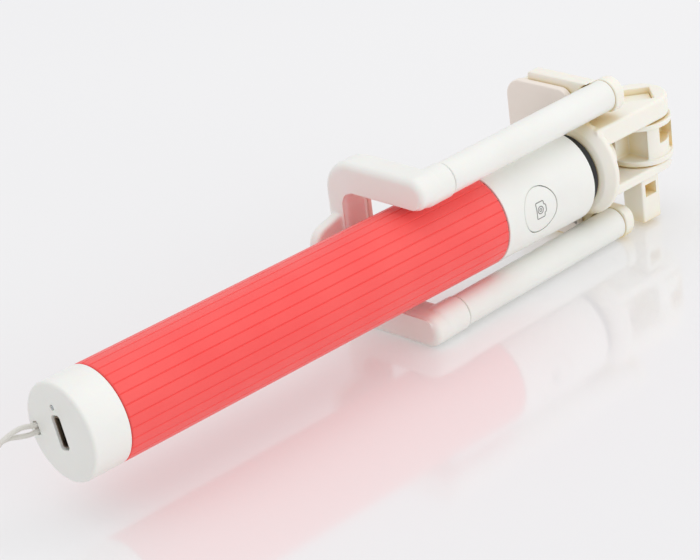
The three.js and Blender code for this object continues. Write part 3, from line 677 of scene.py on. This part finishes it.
def make_charging_socket():
    outer, inner = (
        prism("socket", slot_outline(half_a, half_b), low, high, "X")
        for (half_a, half_b), low, high in (
            (SOCKET_HALF, 0.45, 7.5),
            ((SOCKET_HALF[0] - 0.25, SOCKET_HALF[1] - 0.25), 0, 6.8),
        )
    )
    bevelled(cut(outer, inner), 0.06, 3)
    # The socket shell gets steel darkened with painted shade, for the shade inside the slot.
    finished(
        outer, "charging_socket", CAP, "handle", "steel", "usb_socket", material="painted_shade_steel"
    )
    tongue = block(1.05, 6.9, -0.5, 0.3, -3.0, 3.0)
    bevelled(tongue, 0.1, 3)
    finished(tongue, "socket_tongue", CAP, "handle", "black_plastic")
    for k in range(5):
        z = (k - 2) * 0.85
        contact = bevelled(block(2.0, 5.5, 0.25, 0.4, z - 0.2, z + 0.2), 0.04, 2)
        finished(
            contact, f"socket_contact_{k + 1}", CAP, "handle", "steel", material="contact_gold"
        )


def make_status_light():
    lens = lathe("status_lens", [
        (0.15, 0, 0), (0.15, LED_RADIUS, 0.35), (7.4, LED_RADIUS, 0), (7.4, 0, 0),
    ], 48)
    lens.data.transform(Matrix.Translation((0, 0, LED_Z)))
    finished(lens, "status_lens", CAP, "handle", "led_lens", "status_led")


def make_eyelet_pin():
    low, high = measured("eyelet_pin", CAP)
    radius = (high.x - low.x) / 2
    pin = lathe("strap_pin", [
        (low.y, 0, 0), (low.y, radius, 0.1), (high.y, radius, 0.1), (high.y, 0, 0),
    ], 48)
    pin.data.transform(Matrix.Rotation(math.pi / 2, 4, "Z"))
    pin.data.transform(Matrix.Translation(((low.x + high.x) / 2, 0, (low.z + high.z) / 2)))
    finished(pin, "strap_pin", CAP, "handle", "steel", "eyelet_pin")


# ---------------------------------------------------------------- grip

FLUTES = 28
GROOVE_DEPTH = 0.26
GROOVE_SHARE = 0.085  # half a groove's width, as a share of the pitch
FLUTE_STEPS = (0, 0.012, 0.03, 0.05, 0.068, 0.085, 0.11, 0.16, 0.24, 0.37)


def flute_radius(share):
    """The grip's radius at a share of the pitch from a groove: a flat band with soft edges."""
    pitch = 2 * math.pi / FLUTES
    edge = HANDLE_RADIUS - 0.02
    flat = edge * math.cos(pitch * (0.5 - GROOVE_SHARE)) / math.cos(pitch * (0.5 - share))
    crown = 0.6 * (edge - flat)
    across = min(1.0, share / GROOVE_SHARE)
    return flat + crown - GROOVE_DEPTH * (1 - across**1.6) ** 1.5


def make_grip():
    shares = [*FLUTE_STEPS, 0.5]
    shares += [1 - s for s in reversed(FLUTE_STEPS[1:])]
    angles, radii = [], []
    for flute in range(FLUTES):
        for share in shares:
            angles.append((flute + share) * 2 * math.pi / FLUTES)
            radii.append(flute_radius(min(share, 1 - share)))
    bore = CORE_HIGH.y + GAP
    edge = 0.45
    turns = [math.pi / 2 * k / 5 for k in range(6)]
    ends = [(edge * (1 - math.sin(t)), edge * (1 - math.cos(t))) for t in turns]
    stations = [(GRIP_LOW.x + dx, drop) for dx, drop in reversed(ends)]
    length = GRIP_HIGH.x - GRIP_LOW.x
    stations += [(GRIP_LOW.x + length * k / 12, 0) for k in range(1, 12)]
    stations += [(GRIP_HIGH.x - dx, drop) for dx, drop in ends]
    vertices = []
    for x, drop in stations:
        for angle, radius in zip(angles, radii):
            reach = max(radius - drop, bore + 0.2)
            vertices.append((x, reach * math.cos(angle), reach * math.sin(angle)))
    for x in (GRIP_HIGH.x, GRIP_LOW.x):
        vertices += [(x, bore * math.cos(angle), bore * math.sin(angle)) for angle in angles]
    count = len(angles)
    rings = len(stations) + 2
    faces = []
    for ring in range(rings):
        following = (ring + 1) % rings
        for k in range(count):
            other = (k + 1) % count
            faces.append([
                ring * count + k, ring * count + other,
                following * count + other, following * count + k,
            ])
    grip = new_object("fluted_grip", vertices, faces)
    finished(grip, "fluted_grip", STICK, "handle", "coral_rubber", "grip_sleeve", crease=60)


def make_core():
    bore = CORE_HIGH.y - 1.3
    core = lathe("grip_core_tube", [
        (CORE_LOW.x, bore, 0), (CORE_LOW.x, CORE_HIGH.y, 0.3),
        (CORE_HIGH.x, CORE_HIGH.y, 0.3), (CORE_HIGH.x, bore, 0),
    ])
    window = block(BUTTON_X - 7.5, BUTTON_X + 7.5, -12, -7, -6.4, 6.4)
    window.data.transform(STICK.inverted() @ CONTROLS)
    bevelled(cut(core, window), 0.15, 2)
    finished(core, "grip_core_tube", STICK, "handle", "grey_core", "grip_core")


# ---------------------------------------------------------------- control head and button

RIM = 0.9
BUTTON_EDGE = 0.28
LINE_WIDTH = 0.27


def make_control_head():
    inner = CORE_HIGH.y + GAP
    head = lathe("control_head_shell", [
        (HEAD_LOW.x, inner, 0),
        (HEAD_LOW.x, HANDLE_RADIUS, 0.25),
        (HEAD_HIGH.x, HANDLE_RADIUS, RIM),
        (HEAD_HIGH.x, HANDLE_RADIUS - 1.6, 0.2),
        (HEAD_HIGH.x - 3, inner, 0),
    ], 192, 8)
    hole = prism("hole", circle(BUTTON_RADIUS + 0.2, BUTTON_X, 0), -14, -6, "Y")
    cut(head, hole)
    bevelled(head, 0.1, 3)
    finished(head, "control_head_shell", CONTROLS, "handle", "white_shell", "control_head")


def on_button(x, z, lift):
    """A point over the button's curved face, lift above it."""
    radius = HANDLE_RADIUS - 0.05 + lift
    return (BUTTON_X + x, -math.sqrt(radius**2 - z**2), z)


def make_button():
    segments = 128
    turns = [math.pi / 2 * k / 6 for k in range(7)]
    face = [(BUTTON_RADIUS * k / 12, 0.0) for k in range(1, 12)]
    edge = [
        (BUTTON_RADIUS - BUTTON_EDGE * (1 - math.sin(t)), -BUTTON_EDGE * (1 - math.cos(t)))
        for t in turns
    ]
    back = [(BUTTON_RADIUS, -1.2), (1.6, -1.2), (1.6, -1.6)]
    rings = face + edge + back
    vertices = [on_button(0, 0, 0)]
    for radius, lift in rings:
        for k in range(segments):
            angle = 2 * math.pi * k / segments
            vertices.append(on_button(radius * math.cos(angle), radius * math.sin(angle), lift))
    faces = []
    for k in range(segments):
        other = (k + 1) % segments
        faces.append([0, 1 + k, 1 + other])
        for ring in range(len(rings) - 1):
            first, second = 1 + ring * segments, 1 + (ring + 1) * segments
            faces.append([first + k, second + k, second + other, first + other])
    last = 1 + (len(rings) - 1) * segments
    faces.append(list(range(last, last + segments)))
    button = new_object("shutter_button_cap", vertices, faces)
    finished(
        button, "shutter_button_cap", CONTROLS, "button", "white_shell", "shutter_button"
    )


def line_band(corners, width):
    """A closed raised line over the button, along an outline drawn in X and Z."""
    closed = [*corners, corners[0]]
    outline = evenly([Vector(p[:2]) for p in closed], 0.2)[:-1]
    count = len(outline)
    vertices = []
    for k, here in enumerate(outline):
        ahead = (outline[(k + 1) % count] - outline[k - 1]).normalized()
        across = Vector((-ahead.y, ahead.x)) * width / 2
        for offset, lift in ((1, -0.08), (1, 0.03), (-1, 0.03), (-1, -0.08)):
            point = here + across * offset
            vertices.append(on_button(point.x, point.y, lift))
    faces = []
    for k in range(count):
        other = (k + 1) % count
        for s in range(4):
            t = (s + 1) % 4
            faces.append([4 * k + s, 4 * other + s, 4 * other + t, 4 * k + t])
    return new_object("line", vertices, faces)


def make_camera_sign():
    """A plain camera pictogram, upright when the clamp is on top."""
    half_width, base, top, hump_top, hump = 2.15, -1.55, 1.25, 1.85, 0.95
    body = rounded([
        (base, -half_width, 0.3), (base, half_width, 0.3), (top, half_width, 0.3),
        (top, hump + 0.25, 0.1), (hump_top, hump - 0.1, 0.15), (hump_top, -hump + 0.1, 0.15),
        (top, -hump - 0.25, 0.1), (top, -half_width, 0.3),
    ], 5)
    outlines = {
        "body": body,
        "lens": circle(0.95, -0.15, 0, 48),
        "iris": circle(0.38, -0.15, 0, 32),
    }
    for name, outline in outlines.items():
        finished(
            line_band(outline, LINE_WIDTH), f"camera_sign_{name}", CONTROLS, "button",
            "white_shell", material="ink",
        )


# ---------------------------------------------------------------- pole


def make_collar():
    front, top = COLLAR_HIGH.x, COLLAR_HIGH.y
    collar = lathe("pole_collar", [
        (HEAD_HIGH.x - 3, 8.6, 0), (HEAD_HIGH.x - 3, 9.0, 0), (HEAD_HIGH.x + GAP, 9.0, 0),
        (HEAD_HIGH.x + GAP, top, 0.3), (front, top, 0.6), (front, 7.7, 0.2),
        (HEAD_HIGH.x + GAP, 7.7, 0), (HEAD_HIGH.x + GAP, 8.6, 0),
    ])
    finished(collar, "pole_collar", STICK, "handle", "black_plastic", "collar_ring")


def make_pole():
    tubes = {"pole_outer": "handle"}
    tubes.update({f"pole_section_{i}": f"section_{i}" for i in range(1, 6)})
    wall = 0.45
    for node, body in tubes.items():
        low, high = measured(node, STICK)
        section = lathe(f"{node}_tube", [
            (low.x, high.y - wall, 0.1), (low.x, high.y, 0.15),
            (high.x, high.y, 0.18), (high.x, high.y - wall, 0.12),
        ])
        finished(section, f"{node}_tube", STICK, body, "steel", node)


# ---------------------------------------------------------------- fork and its fasteners

DISC_BACK = 174.6
EAR_RADIUS = 8.4
UPPER_EAR = (6.1, 11.8)
LOWER_EAR = (-8.8, -6.1)
RECESS_TURN = math.radians(-40)
RECESS_HALF = 4.3
RECESS_FLOOR = 9.1
BOLT_RADIUS = 1.9
BOLT_HEAD = 3.3
BOLT_HEAD_Z = 7.1
NUT_RADIUS = 3.4
NUT_TOP = -7.2
DISC_POCKET = 5.4  # radius of the recess in the disc's far side
DISC_FLOOR = 3.6  # material between that recess and the socket
POST_HOLE_HALF = 2.1
POST_HOLE_DEPTH = 4
POST_HOLE_RISE = (-5.6, -2.1)  # from the post's top


def ear(low, high, edge):
    outline = rounded([
        (DISC_BACK - 2, -EAR_RADIUS, 0), (HINGE_X + EAR_RADIUS, -EAR_RADIUS, EAR_RADIUS - 0.01),
        (HINGE_X + EAR_RADIUS, EAR_RADIUS, EAR_RADIUS - 0.01), (DISC_BACK - 2, EAR_RADIUS, 0),
    ], 24)
    return prism("ear", outline, low, high, "Z", edge)


def square_at_hinge(half, low, high):
    made = block(-half, half, -half, half, low, high)
    made.data.transform(Matrix.Rotation(RECESS_TURN, 4, "Z"))
    made.data.transform(Matrix.Translation((HINGE_X, 0, 0)))
    return made


def make_fork():
    front = COLLAR_HIGH.x + GAP
    section_end = measured("pole_section_5", STICK)[1]
    socket_back = section_end.x + GAP
    socket = section_end.y + GAP
    radius = measured("fork", STICK)[1].y
    fork = lathe("hinge_fork", [
        (front, socket, 0), (front, 10.0, 0.3), (front + 0.8, 11.5, 0.6),
        (front + 3.0, radius, 0.8), (DISC_BACK, radius, 0.6), (DISC_BACK, DISC_POCKET, 0),
        (socket_back + DISC_FLOOR, DISC_POCKET, 0), (socket_back + DISC_FLOOR, 0, 0),
        (socket_back, 0, 0),
        (socket_back, socket, 0),
    ])
    join(fork, ear(*UPPER_EAR, 0.8), ear(*LOWER_EAR, 0.6))
    cut(
        fork,
        prism("bore", circle(BOLT_RADIUS + 0.1, HINGE_X, 0, 48), -20, 20, "Z"),
        prism("head", circle(BOLT_HEAD + 0.1, HINGE_X, 0, 64), BOLT_HEAD_Z - GAP, 20, "Z"),
        prism("nut", circle(NUT_RADIUS + GAP, HINGE_X, 0, 6), -20, NUT_TOP + GAP, "Z"),
        square_at_hinge(RECESS_HALF, RECESS_FLOOR, 20),
    )
    fused(fork, 0.24, 3)
    finished(fork, "hinge_fork", STICK, "section_5", "cream_shell", "fork", crease=60)


def upright(obj):
    """Turns a piece revolved about X to stand on the hinge axis."""
    obj.data.transform(Matrix.Translation((HINGE_X, 0, 0)) @ Matrix.Rotation(-math.pi / 2, 4, "Y"))
    return obj


def make_hinge_fasteners():
    bolt = upright(lathe("hinge_bolt_pin", [
        (LOWER_EAR[0], 0, 0), (LOWER_EAR[0], BOLT_RADIUS, 0.3),
        (BOLT_HEAD_Z, BOLT_RADIUS, 0), (BOLT_HEAD_Z, BOLT_HEAD, 0.1),
        (RECESS_FLOOR - GAP, BOLT_HEAD, 0.3), (RECESS_FLOOR - GAP, 0, 0),
    ], 96))
    finished(bolt, "hinge_bolt_pin", STICK, "section_5", "steel", "hinge_bolt")
    nut = prism("hinge_nut_hex", circle(NUT_RADIUS, HINGE_X, 0, 6), LOWER_EAR[0], NUT_TOP, "Z")
    cut(nut, prism("thread", circle(BOLT_RADIUS + 0.05, HINGE_X, 0, 48), -20, 0, "Z"))
    bevelled(nut, 0.2, 3)
    finished(nut, "hinge_nut_hex", STICK, "section_5", "steel", "hinge_nut")
    plug = bevelled(square_at_hinge(RECESS_HALF - 0.12, RECESS_FLOOR, RECESS_FLOOR + 0.9), 0.2)
    finished(plug, "hinge_cover_plug", STICK, "section_5", "cream_shell", "hinge_plug")


# ---------------------------------------------------------------- clamp: jaw

KNUCKLE_HALF = 5.8
KNUCKLE_RADIUS = 9.0
KNUCKLE_FLAT = 8.2
FLANGE = 1.5
LEFT_POCKET = (-12, -3.4, -6.6, 0.8)
RIGHT_POCKET = (-0.6, 6.4, -10, -2.6)
RIGHT_POCKET_RISE = 3.6
JAW_INNER_Y = 16.0
JAW_OUTER_Y = 23.6
JAW_INNER_Z = 13.9
JAW_OUTER_Z = 20.7
JAW_INNER_R = 9
LIP_END = 18.2
LIP_DEPTH = 4.2
ARM_HALF = 4.6
SCREW_X = -17.8
SCREW_Z = 3.0


def bow_outline(arm_end, inner_z, outer_z, inner_y, outer_y, inner_r, outer_r):
    """A U lying in Y and Z, with two round-ended arms and a crossbar."""
    half = (outer_z - inner_z) / 2 - 0.01
    return rounded([
        (arm_end, outer_z, half), (outer_y, outer_z, outer_r), (outer_y, -outer_z, outer_r),
        (arm_end, -outer_z, half), (arm_end, -inner_z, half), (inner_y, -inner_z, inner_r),
        (inner_y, inner_z, inner_r), (arm_end, inner_z, half),
    ], 14)


def screw_holes(radius, low, high):
    return [
        prism("hole", circle(radius, SCREW_X, side * SCREW_Z, 48), low, high, "Y")
        for side in (1, -1)
    ]


def mirrored(outline, side):
    return [Vector((a, b * side)) for a, b in outline]


def make_jaw_frame():
    front = PAD_HIGH.x + GAP
    arm_end = ARM_Y - ARM_HALF
    plate = prism("jaw_frame_shell", bow_outline(
        arm_end, JAW_INNER_Z, JAW_OUTER_Z, JAW_INNER_Y, JAW_OUTER_Y, JAW_INNER_R, 5.2,
    ), front, JAW_BACK, "X", 0.7)
    foot = AXIS_HEIGHT - 0.04
    half = (foot - JAW_INNER_Z) / 2 - 0.01
    lip = rounded([
        (arm_end, JAW_INNER_Z, half), (LIP_END, JAW_INNER_Z, 0), (LIP_END, foot, 1.0),
        (arm_end, foot, half),
    ], 16)
    lips = [
        prism("lip", mirrored(lip, side), front, front + LIP_DEPTH, "X", 0.4, 4)
        for side in (1, -1)
    ]
    caps = []
    for side in (1, -1):
        cap = lathe("cap", [
            (front + 1, 0, 0), (front + 1, half, 0), (JAW_BACK, half, 0.6), (JAW_BACK, 0, 0),
        ])
        centre = (0, arm_end + half, side * (JAW_INNER_Z + half))
        cap.data.transform(Matrix.Translation(centre))
        caps.append(cap)
    join(plate, *lips, *caps)
    saddle_end = SLEEVE_SEAM + 0.15
    tools = []
    for side in (1, -1):
        tools += [
            rod(front - 1, saddle_end, SLEEVE_RADIUS + GAP, ARM_Y, side * ARM_Z),
            rod(front - 1, JAW_BACK - 1.2, 3.4, ARM_Y, side * ARM_Z),
            block(front - 1, saddle_end, -14, ARM_Y, *sorted((side * 8, side * 26))),
        ]
    tools += screw_holes(2.2, JAW_OUTER_Y - 1.9, JAW_OUTER_Y + 1)
    tools += screw_holes(1.2, 10, JAW_OUTER_Y + 1)
    cut(plate, *tools)
    fused(plate, 0.22, 2)
    finished(plate, "jaw_frame_shell", CLAMP, "jaw", "cream_shell", "jaw_frame", crease=60)


def make_jaw_pad():
    pad = prism("jaw_pad_face", bow_outline(
        PAD_LOW.y, JAW_INNER_Z + GAP, PAD_HIGH.z, JAW_INNER_Y, PAD_HIGH.y, JAW_INNER_R, 5,
    ), PAD_LOW.x, PAD_HIGH.x, "X", 0.45)
    finished(pad, "jaw_pad_face", CLAMP, "jaw", "soft_pad", "jaw_pad")


def make_hinge_post():
    low, high = measured("hinge_post", STICK)
    radius = 0.5
    post = prism("hinge_post_block", rounded([
        (low.x, low.y, radius), (high.x, low.y, radius),
        (high.x, high.y, radius), (low.x, high.y, radius),
    ]), low.z, high.z, "Z", 0.4)
    centre = (low.x + high.x) / 2
    hole_low, hole_high = (high.z + rise for rise in POST_HOLE_RISE)
    window = block(
        centre - POST_HOLE_HALF, centre + POST_HOLE_HALF, low.y - 1, low.y + POST_HOLE_DEPTH,
        hole_low, hole_high,
    )
    cut(post, window)
    bevelled(post, 0.14, 2)
    finished(post, "hinge_post_block", STICK, "section_5", "cream_shell", "hinge_post")


def make_knuckle():
    hub = prism(
        "knuckle_block", circle(KNUCKLE_RADIUS, 0, 0, 128), -KNUCKLE_HALF, KNUCKLE_HALF, "Z"
    )
    tongue = prism("tongue", [
        (-7, 3), (7.2, 3), (JAW_BACK + 2, JAW_INNER_Y - GAP),
        (PAD_HIGH.x + 1, JAW_INNER_Y - GAP),
    ], -KNUCKLE_HALF, KNUCKLE_HALF, "Z")
    join(hub, tongue)
    low, high = -KNUCKLE_HALF + FLANGE, KNUCKLE_HALF - FLANGE
    rim = cut(
        prism("rim", circle(KNUCKLE_RADIUS + 1), low, high, "Z"),
        prism("core", circle(KNUCKLE_RADIUS - 1), low - 1, high + 1, "Z"),
        block(-12, 12, -1, 12, low - 1, high + 1),
        block(RIGHT_POCKET[1], 12, -10, 0, low - 1, high + 1),
    )
    cut(
        hub,
        block(KNUCKLE_FLAT, 12, -12, 12, -KNUCKLE_HALF - 1, KNUCKLE_HALF + 1),
        block(*LEFT_POCKET, low, high),
        block(*RIGHT_POCKET, low + RIGHT_POCKET_RISE, high),
        rim,
        prism("bolt", circle(BOLT_RADIUS + 0.1, 0, 0, 48), -20, 20, "Z"),
        *screw_holes(1.2, 7, 20),
    )
    fused(hub, 0.2, 2)
    finished(hub, "knuckle_block", CLAMP, "jaw", "cream_shell", "knuckle", crease=60)


def make_knuckle_screws():
    for number, side in ((1, 1), (2, -1)):
        low, high = measured(f"knuckle_screw_{number}", CLAMP)
        screw = lathe("screw", [
            (low.y, 0, 0), (low.y, 1.0, 0.3), (high.y - 1.3, 1.0, 0),
            (high.y - 1.3, 2.0, 0.2), (high.y, 2.0, 0.35), (high.y, 0, 0),
        ], 64)
        blades = [
            block(high.y - 0.7, high.y + 1, -a, a, -b, b) for a, b in ((0.22, 1.2), (1.2, 0.22))
        ]
        cut(screw, *blades)
        screw.data.transform(Matrix.Rotation(math.pi / 2, 4, "Z"))
        screw.data.transform(Matrix.Translation((SCREW_X, 0, side * SCREW_Z)))
        name = f"jaw_screw_{number}"
        finished(screw, name, CLAMP, "jaw", "steel", f"knuckle_screw_{number}")


# ---------------------------------------------------------------- clamp: sleeves, rods and bow

SLEEVE_BORE = 3.1
BOW_FRONT = -91.8
BOW_DEPTH = 8.6
BOW_INNER_Y = 19.6
BOW_OUTER_Y = 26.2


def make_arms():
    for label, side in SIDES.items():
        at_arm = CLAMP @ Matrix.Translation(Vector((0, ARM_Y, side * ARM_Z)) * MM)
        tube = lathe("sleeve", [
            (SLEEVE_LOW.x, SLEEVE_BORE, 0), (SLEEVE_LOW.x, SLEEVE_RADIUS, 0.35),
            (SLEEVE_SEAM, SLEEVE_RADIUS, 0.2), (SLEEVE_SEAM, SLEEVE_BORE - 0.05, 0),
            (SLEEVE_HIGH.x, SLEEVE_BORE - 0.05, 0), (SLEEVE_HIGH.x, SLEEVE_BORE - 0.8, 0),
            (SLEEVE_SEAM - 3, SLEEVE_BORE - 0.8, 0), (SLEEVE_SEAM - 3, SLEEVE_BORE, 0),
        ])
        finished(tube, f"sleeve_{label}_tube", at_arm, "jaw", "white_shell", f"sleeve_{label}")
        for part, body, slot, bore in (
            ("sleeve_bush", "jaw", "black_plastic", 1.6),
            ("rod_stop", "bow", "black_plastic", 1.6),
            ("rod", "bow", "steel", 0),
        ):
            node = f"{part}_{label}"
            low, high = measured(node, CLAMP)
            radius = (high.y - low.y) / 2
            edge = 0.25 if bore == 0 else 0.15
            ring = lathe(part, [
                (low.x, bore, 0), (low.x, radius, edge), (high.x, radius, edge), (high.x, bore, 0),
            ], 96)
            finished(ring, f"{node}_turned", at_arm, body, slot, node)


def make_bow():
    socket_end = SLEEVE_LOW.x - GAP
    arm_end = ARM_Y - ARM_HALF
    bar = prism("bow_bar", bow_outline(
        arm_end, 14.3, ARM_Z + ARM_HALF, BOW_INNER_Y, BOW_OUTER_Y, 3.5, 9.0,
    ), BOW_FRONT, BOW_FRONT + BOW_DEPTH, "X", 1.9, 8)
    tab = prism("tab", rounded([
        (BOW_FRONT + 3, -9, 0), (BOW_FRONT - 3, -7.6, 2), (BOW_FRONT - 9.5, -6, 5),
        (BOW_FRONT - 9.5, 6, 5), (BOW_FRONT - 3, 7.6, 2), (BOW_FRONT + 3, 9, 0),
    ], 10), 21, 24.4, "Y", 0.9)
    tools = [tab]
    for side in (1, -1):
        collar = lathe("collar", [
            (BOW_FRONT + 3, 0, 0), (BOW_FRONT + 3, ARM_HALF, 2.2),
            (socket_end, ARM_HALF, 0.4), (socket_end, 0, 0),
        ])
        collar.data.transform(Matrix.Translation((0, ARM_Y, side * ARM_Z)))
        tools.append(collar)
    join(bar, *tools)
    cut(bar, *[
        rod(BOW_FRONT + 2.6, socket_end + 1, 1.7, ARM_Y, side * ARM_Z) for side in (1, -1)
    ])
    fused(bar, 0.25, 6)
    finished(bar, "bow_bar", CLAMP, "bow", "white_shell", "bow", crease=60)


def make_bow_pad():
    low, high = measured("bow_pad", CLAMP)
    outline = moved(slot_outline((high.y - low.y) / 2, high.z), (high.y + low.y) / 2, 0)
    pad = prism("bow_pad_face", outline, low.x, high.x, "X", 0.4)
    finished(pad, "bow_pad_face", CLAMP, "bow", "soft_pad", "bow_pad")


# ---------------------------------------------------------------- pieces sealed inside

INNER_NODES = {
    "battery_cell": "cell_blue",
    "charge_board": "board_green",
    "control_board": "board_green",
    "tactile_switch": "black_plastic",
    "return_spring_upper": "spring_steel",
    "return_spring_lower": "spring_steel",
}


def dress_inner_nodes():
    for node, slot in INNER_NODES.items():
        mesh = frame["nodes"][node].data
        mesh.materials.clear()
        mesh.materials.append(MATERIALS[slot])


# ---------------------------------------------------------------- stage


def make_floor():
    size = 6.0
    floor = new_object("floor", [
        (-size, -size, 0), (size, -size, 0), (size, size, 0), (-size, size, 0),
    ], [[0, 1, 2, 3]])
    made = Finish(
        "floor", Roughness=0.1, IOR=1.95, Emission_Color=linear(240, 239, 239),
        Emission_Strength=0.24,
    )
    tone = made.spread(made.noise(2.0, 2), 0, 1)
    made.set("Base Color", made.mix(tone, linear(214, 214, 214), linear(210, 210, 211)))
    floor.data.materials.append(made.material)
    floor.location.z = -0.0001


def softbox(name, place, aim, size, power):
    data = bpy.data.lights.new(name, "AREA")
    data.shape = "RECTANGLE"
    data.size, data.size_y = size
    data.energy = power
    light = bpy.data.objects.new(name, data)
    light.location = place
    light.rotation_mode = "QUATERNION"
    light.rotation_quaternion = (Vector(aim) - Vector(place)).to_track_quat("-Z", "Y")
    light.visible_glossy = False
    bpy.context.scene.collection.objects.link(light)


def light_scene():
    world = bpy.data.worlds.new("studio")
    world.use_nodes = True
    background = world.node_tree.nodes["Background"]
    background.inputs["Color"].default_value = linear(245, 245, 247)
    background.inputs["Strength"].default_value = 0.83
    bpy.context.scene.world = world
    softbox("overhead", (0.1, 0.1, 1.3), (0, 0, 0), (1.6, 1.2), 4)
    softbox("front", (0.6, -1.3, 0.4), (0, 0, 0), (1.4, 0.7), 5.2)
    bpy.context.scene.view_settings.view_transform = "Standard"


# ---------------------------------------------------------------- assembly

make_end_cap()
make_charging_socket()
make_status_light()
make_eyelet_pin()
make_grip()
make_core()
make_control_head()
make_button()
make_camera_sign()
make_collar()
make_pole()
make_fork()
make_hinge_fasteners()
make_jaw_frame()
make_jaw_pad()
make_hinge_post()
make_knuckle()
make_knuckle_screws()
make_arms()
make_bow()
make_bow_pad()
dress_inner_nodes()
make_floor()
light_scene()
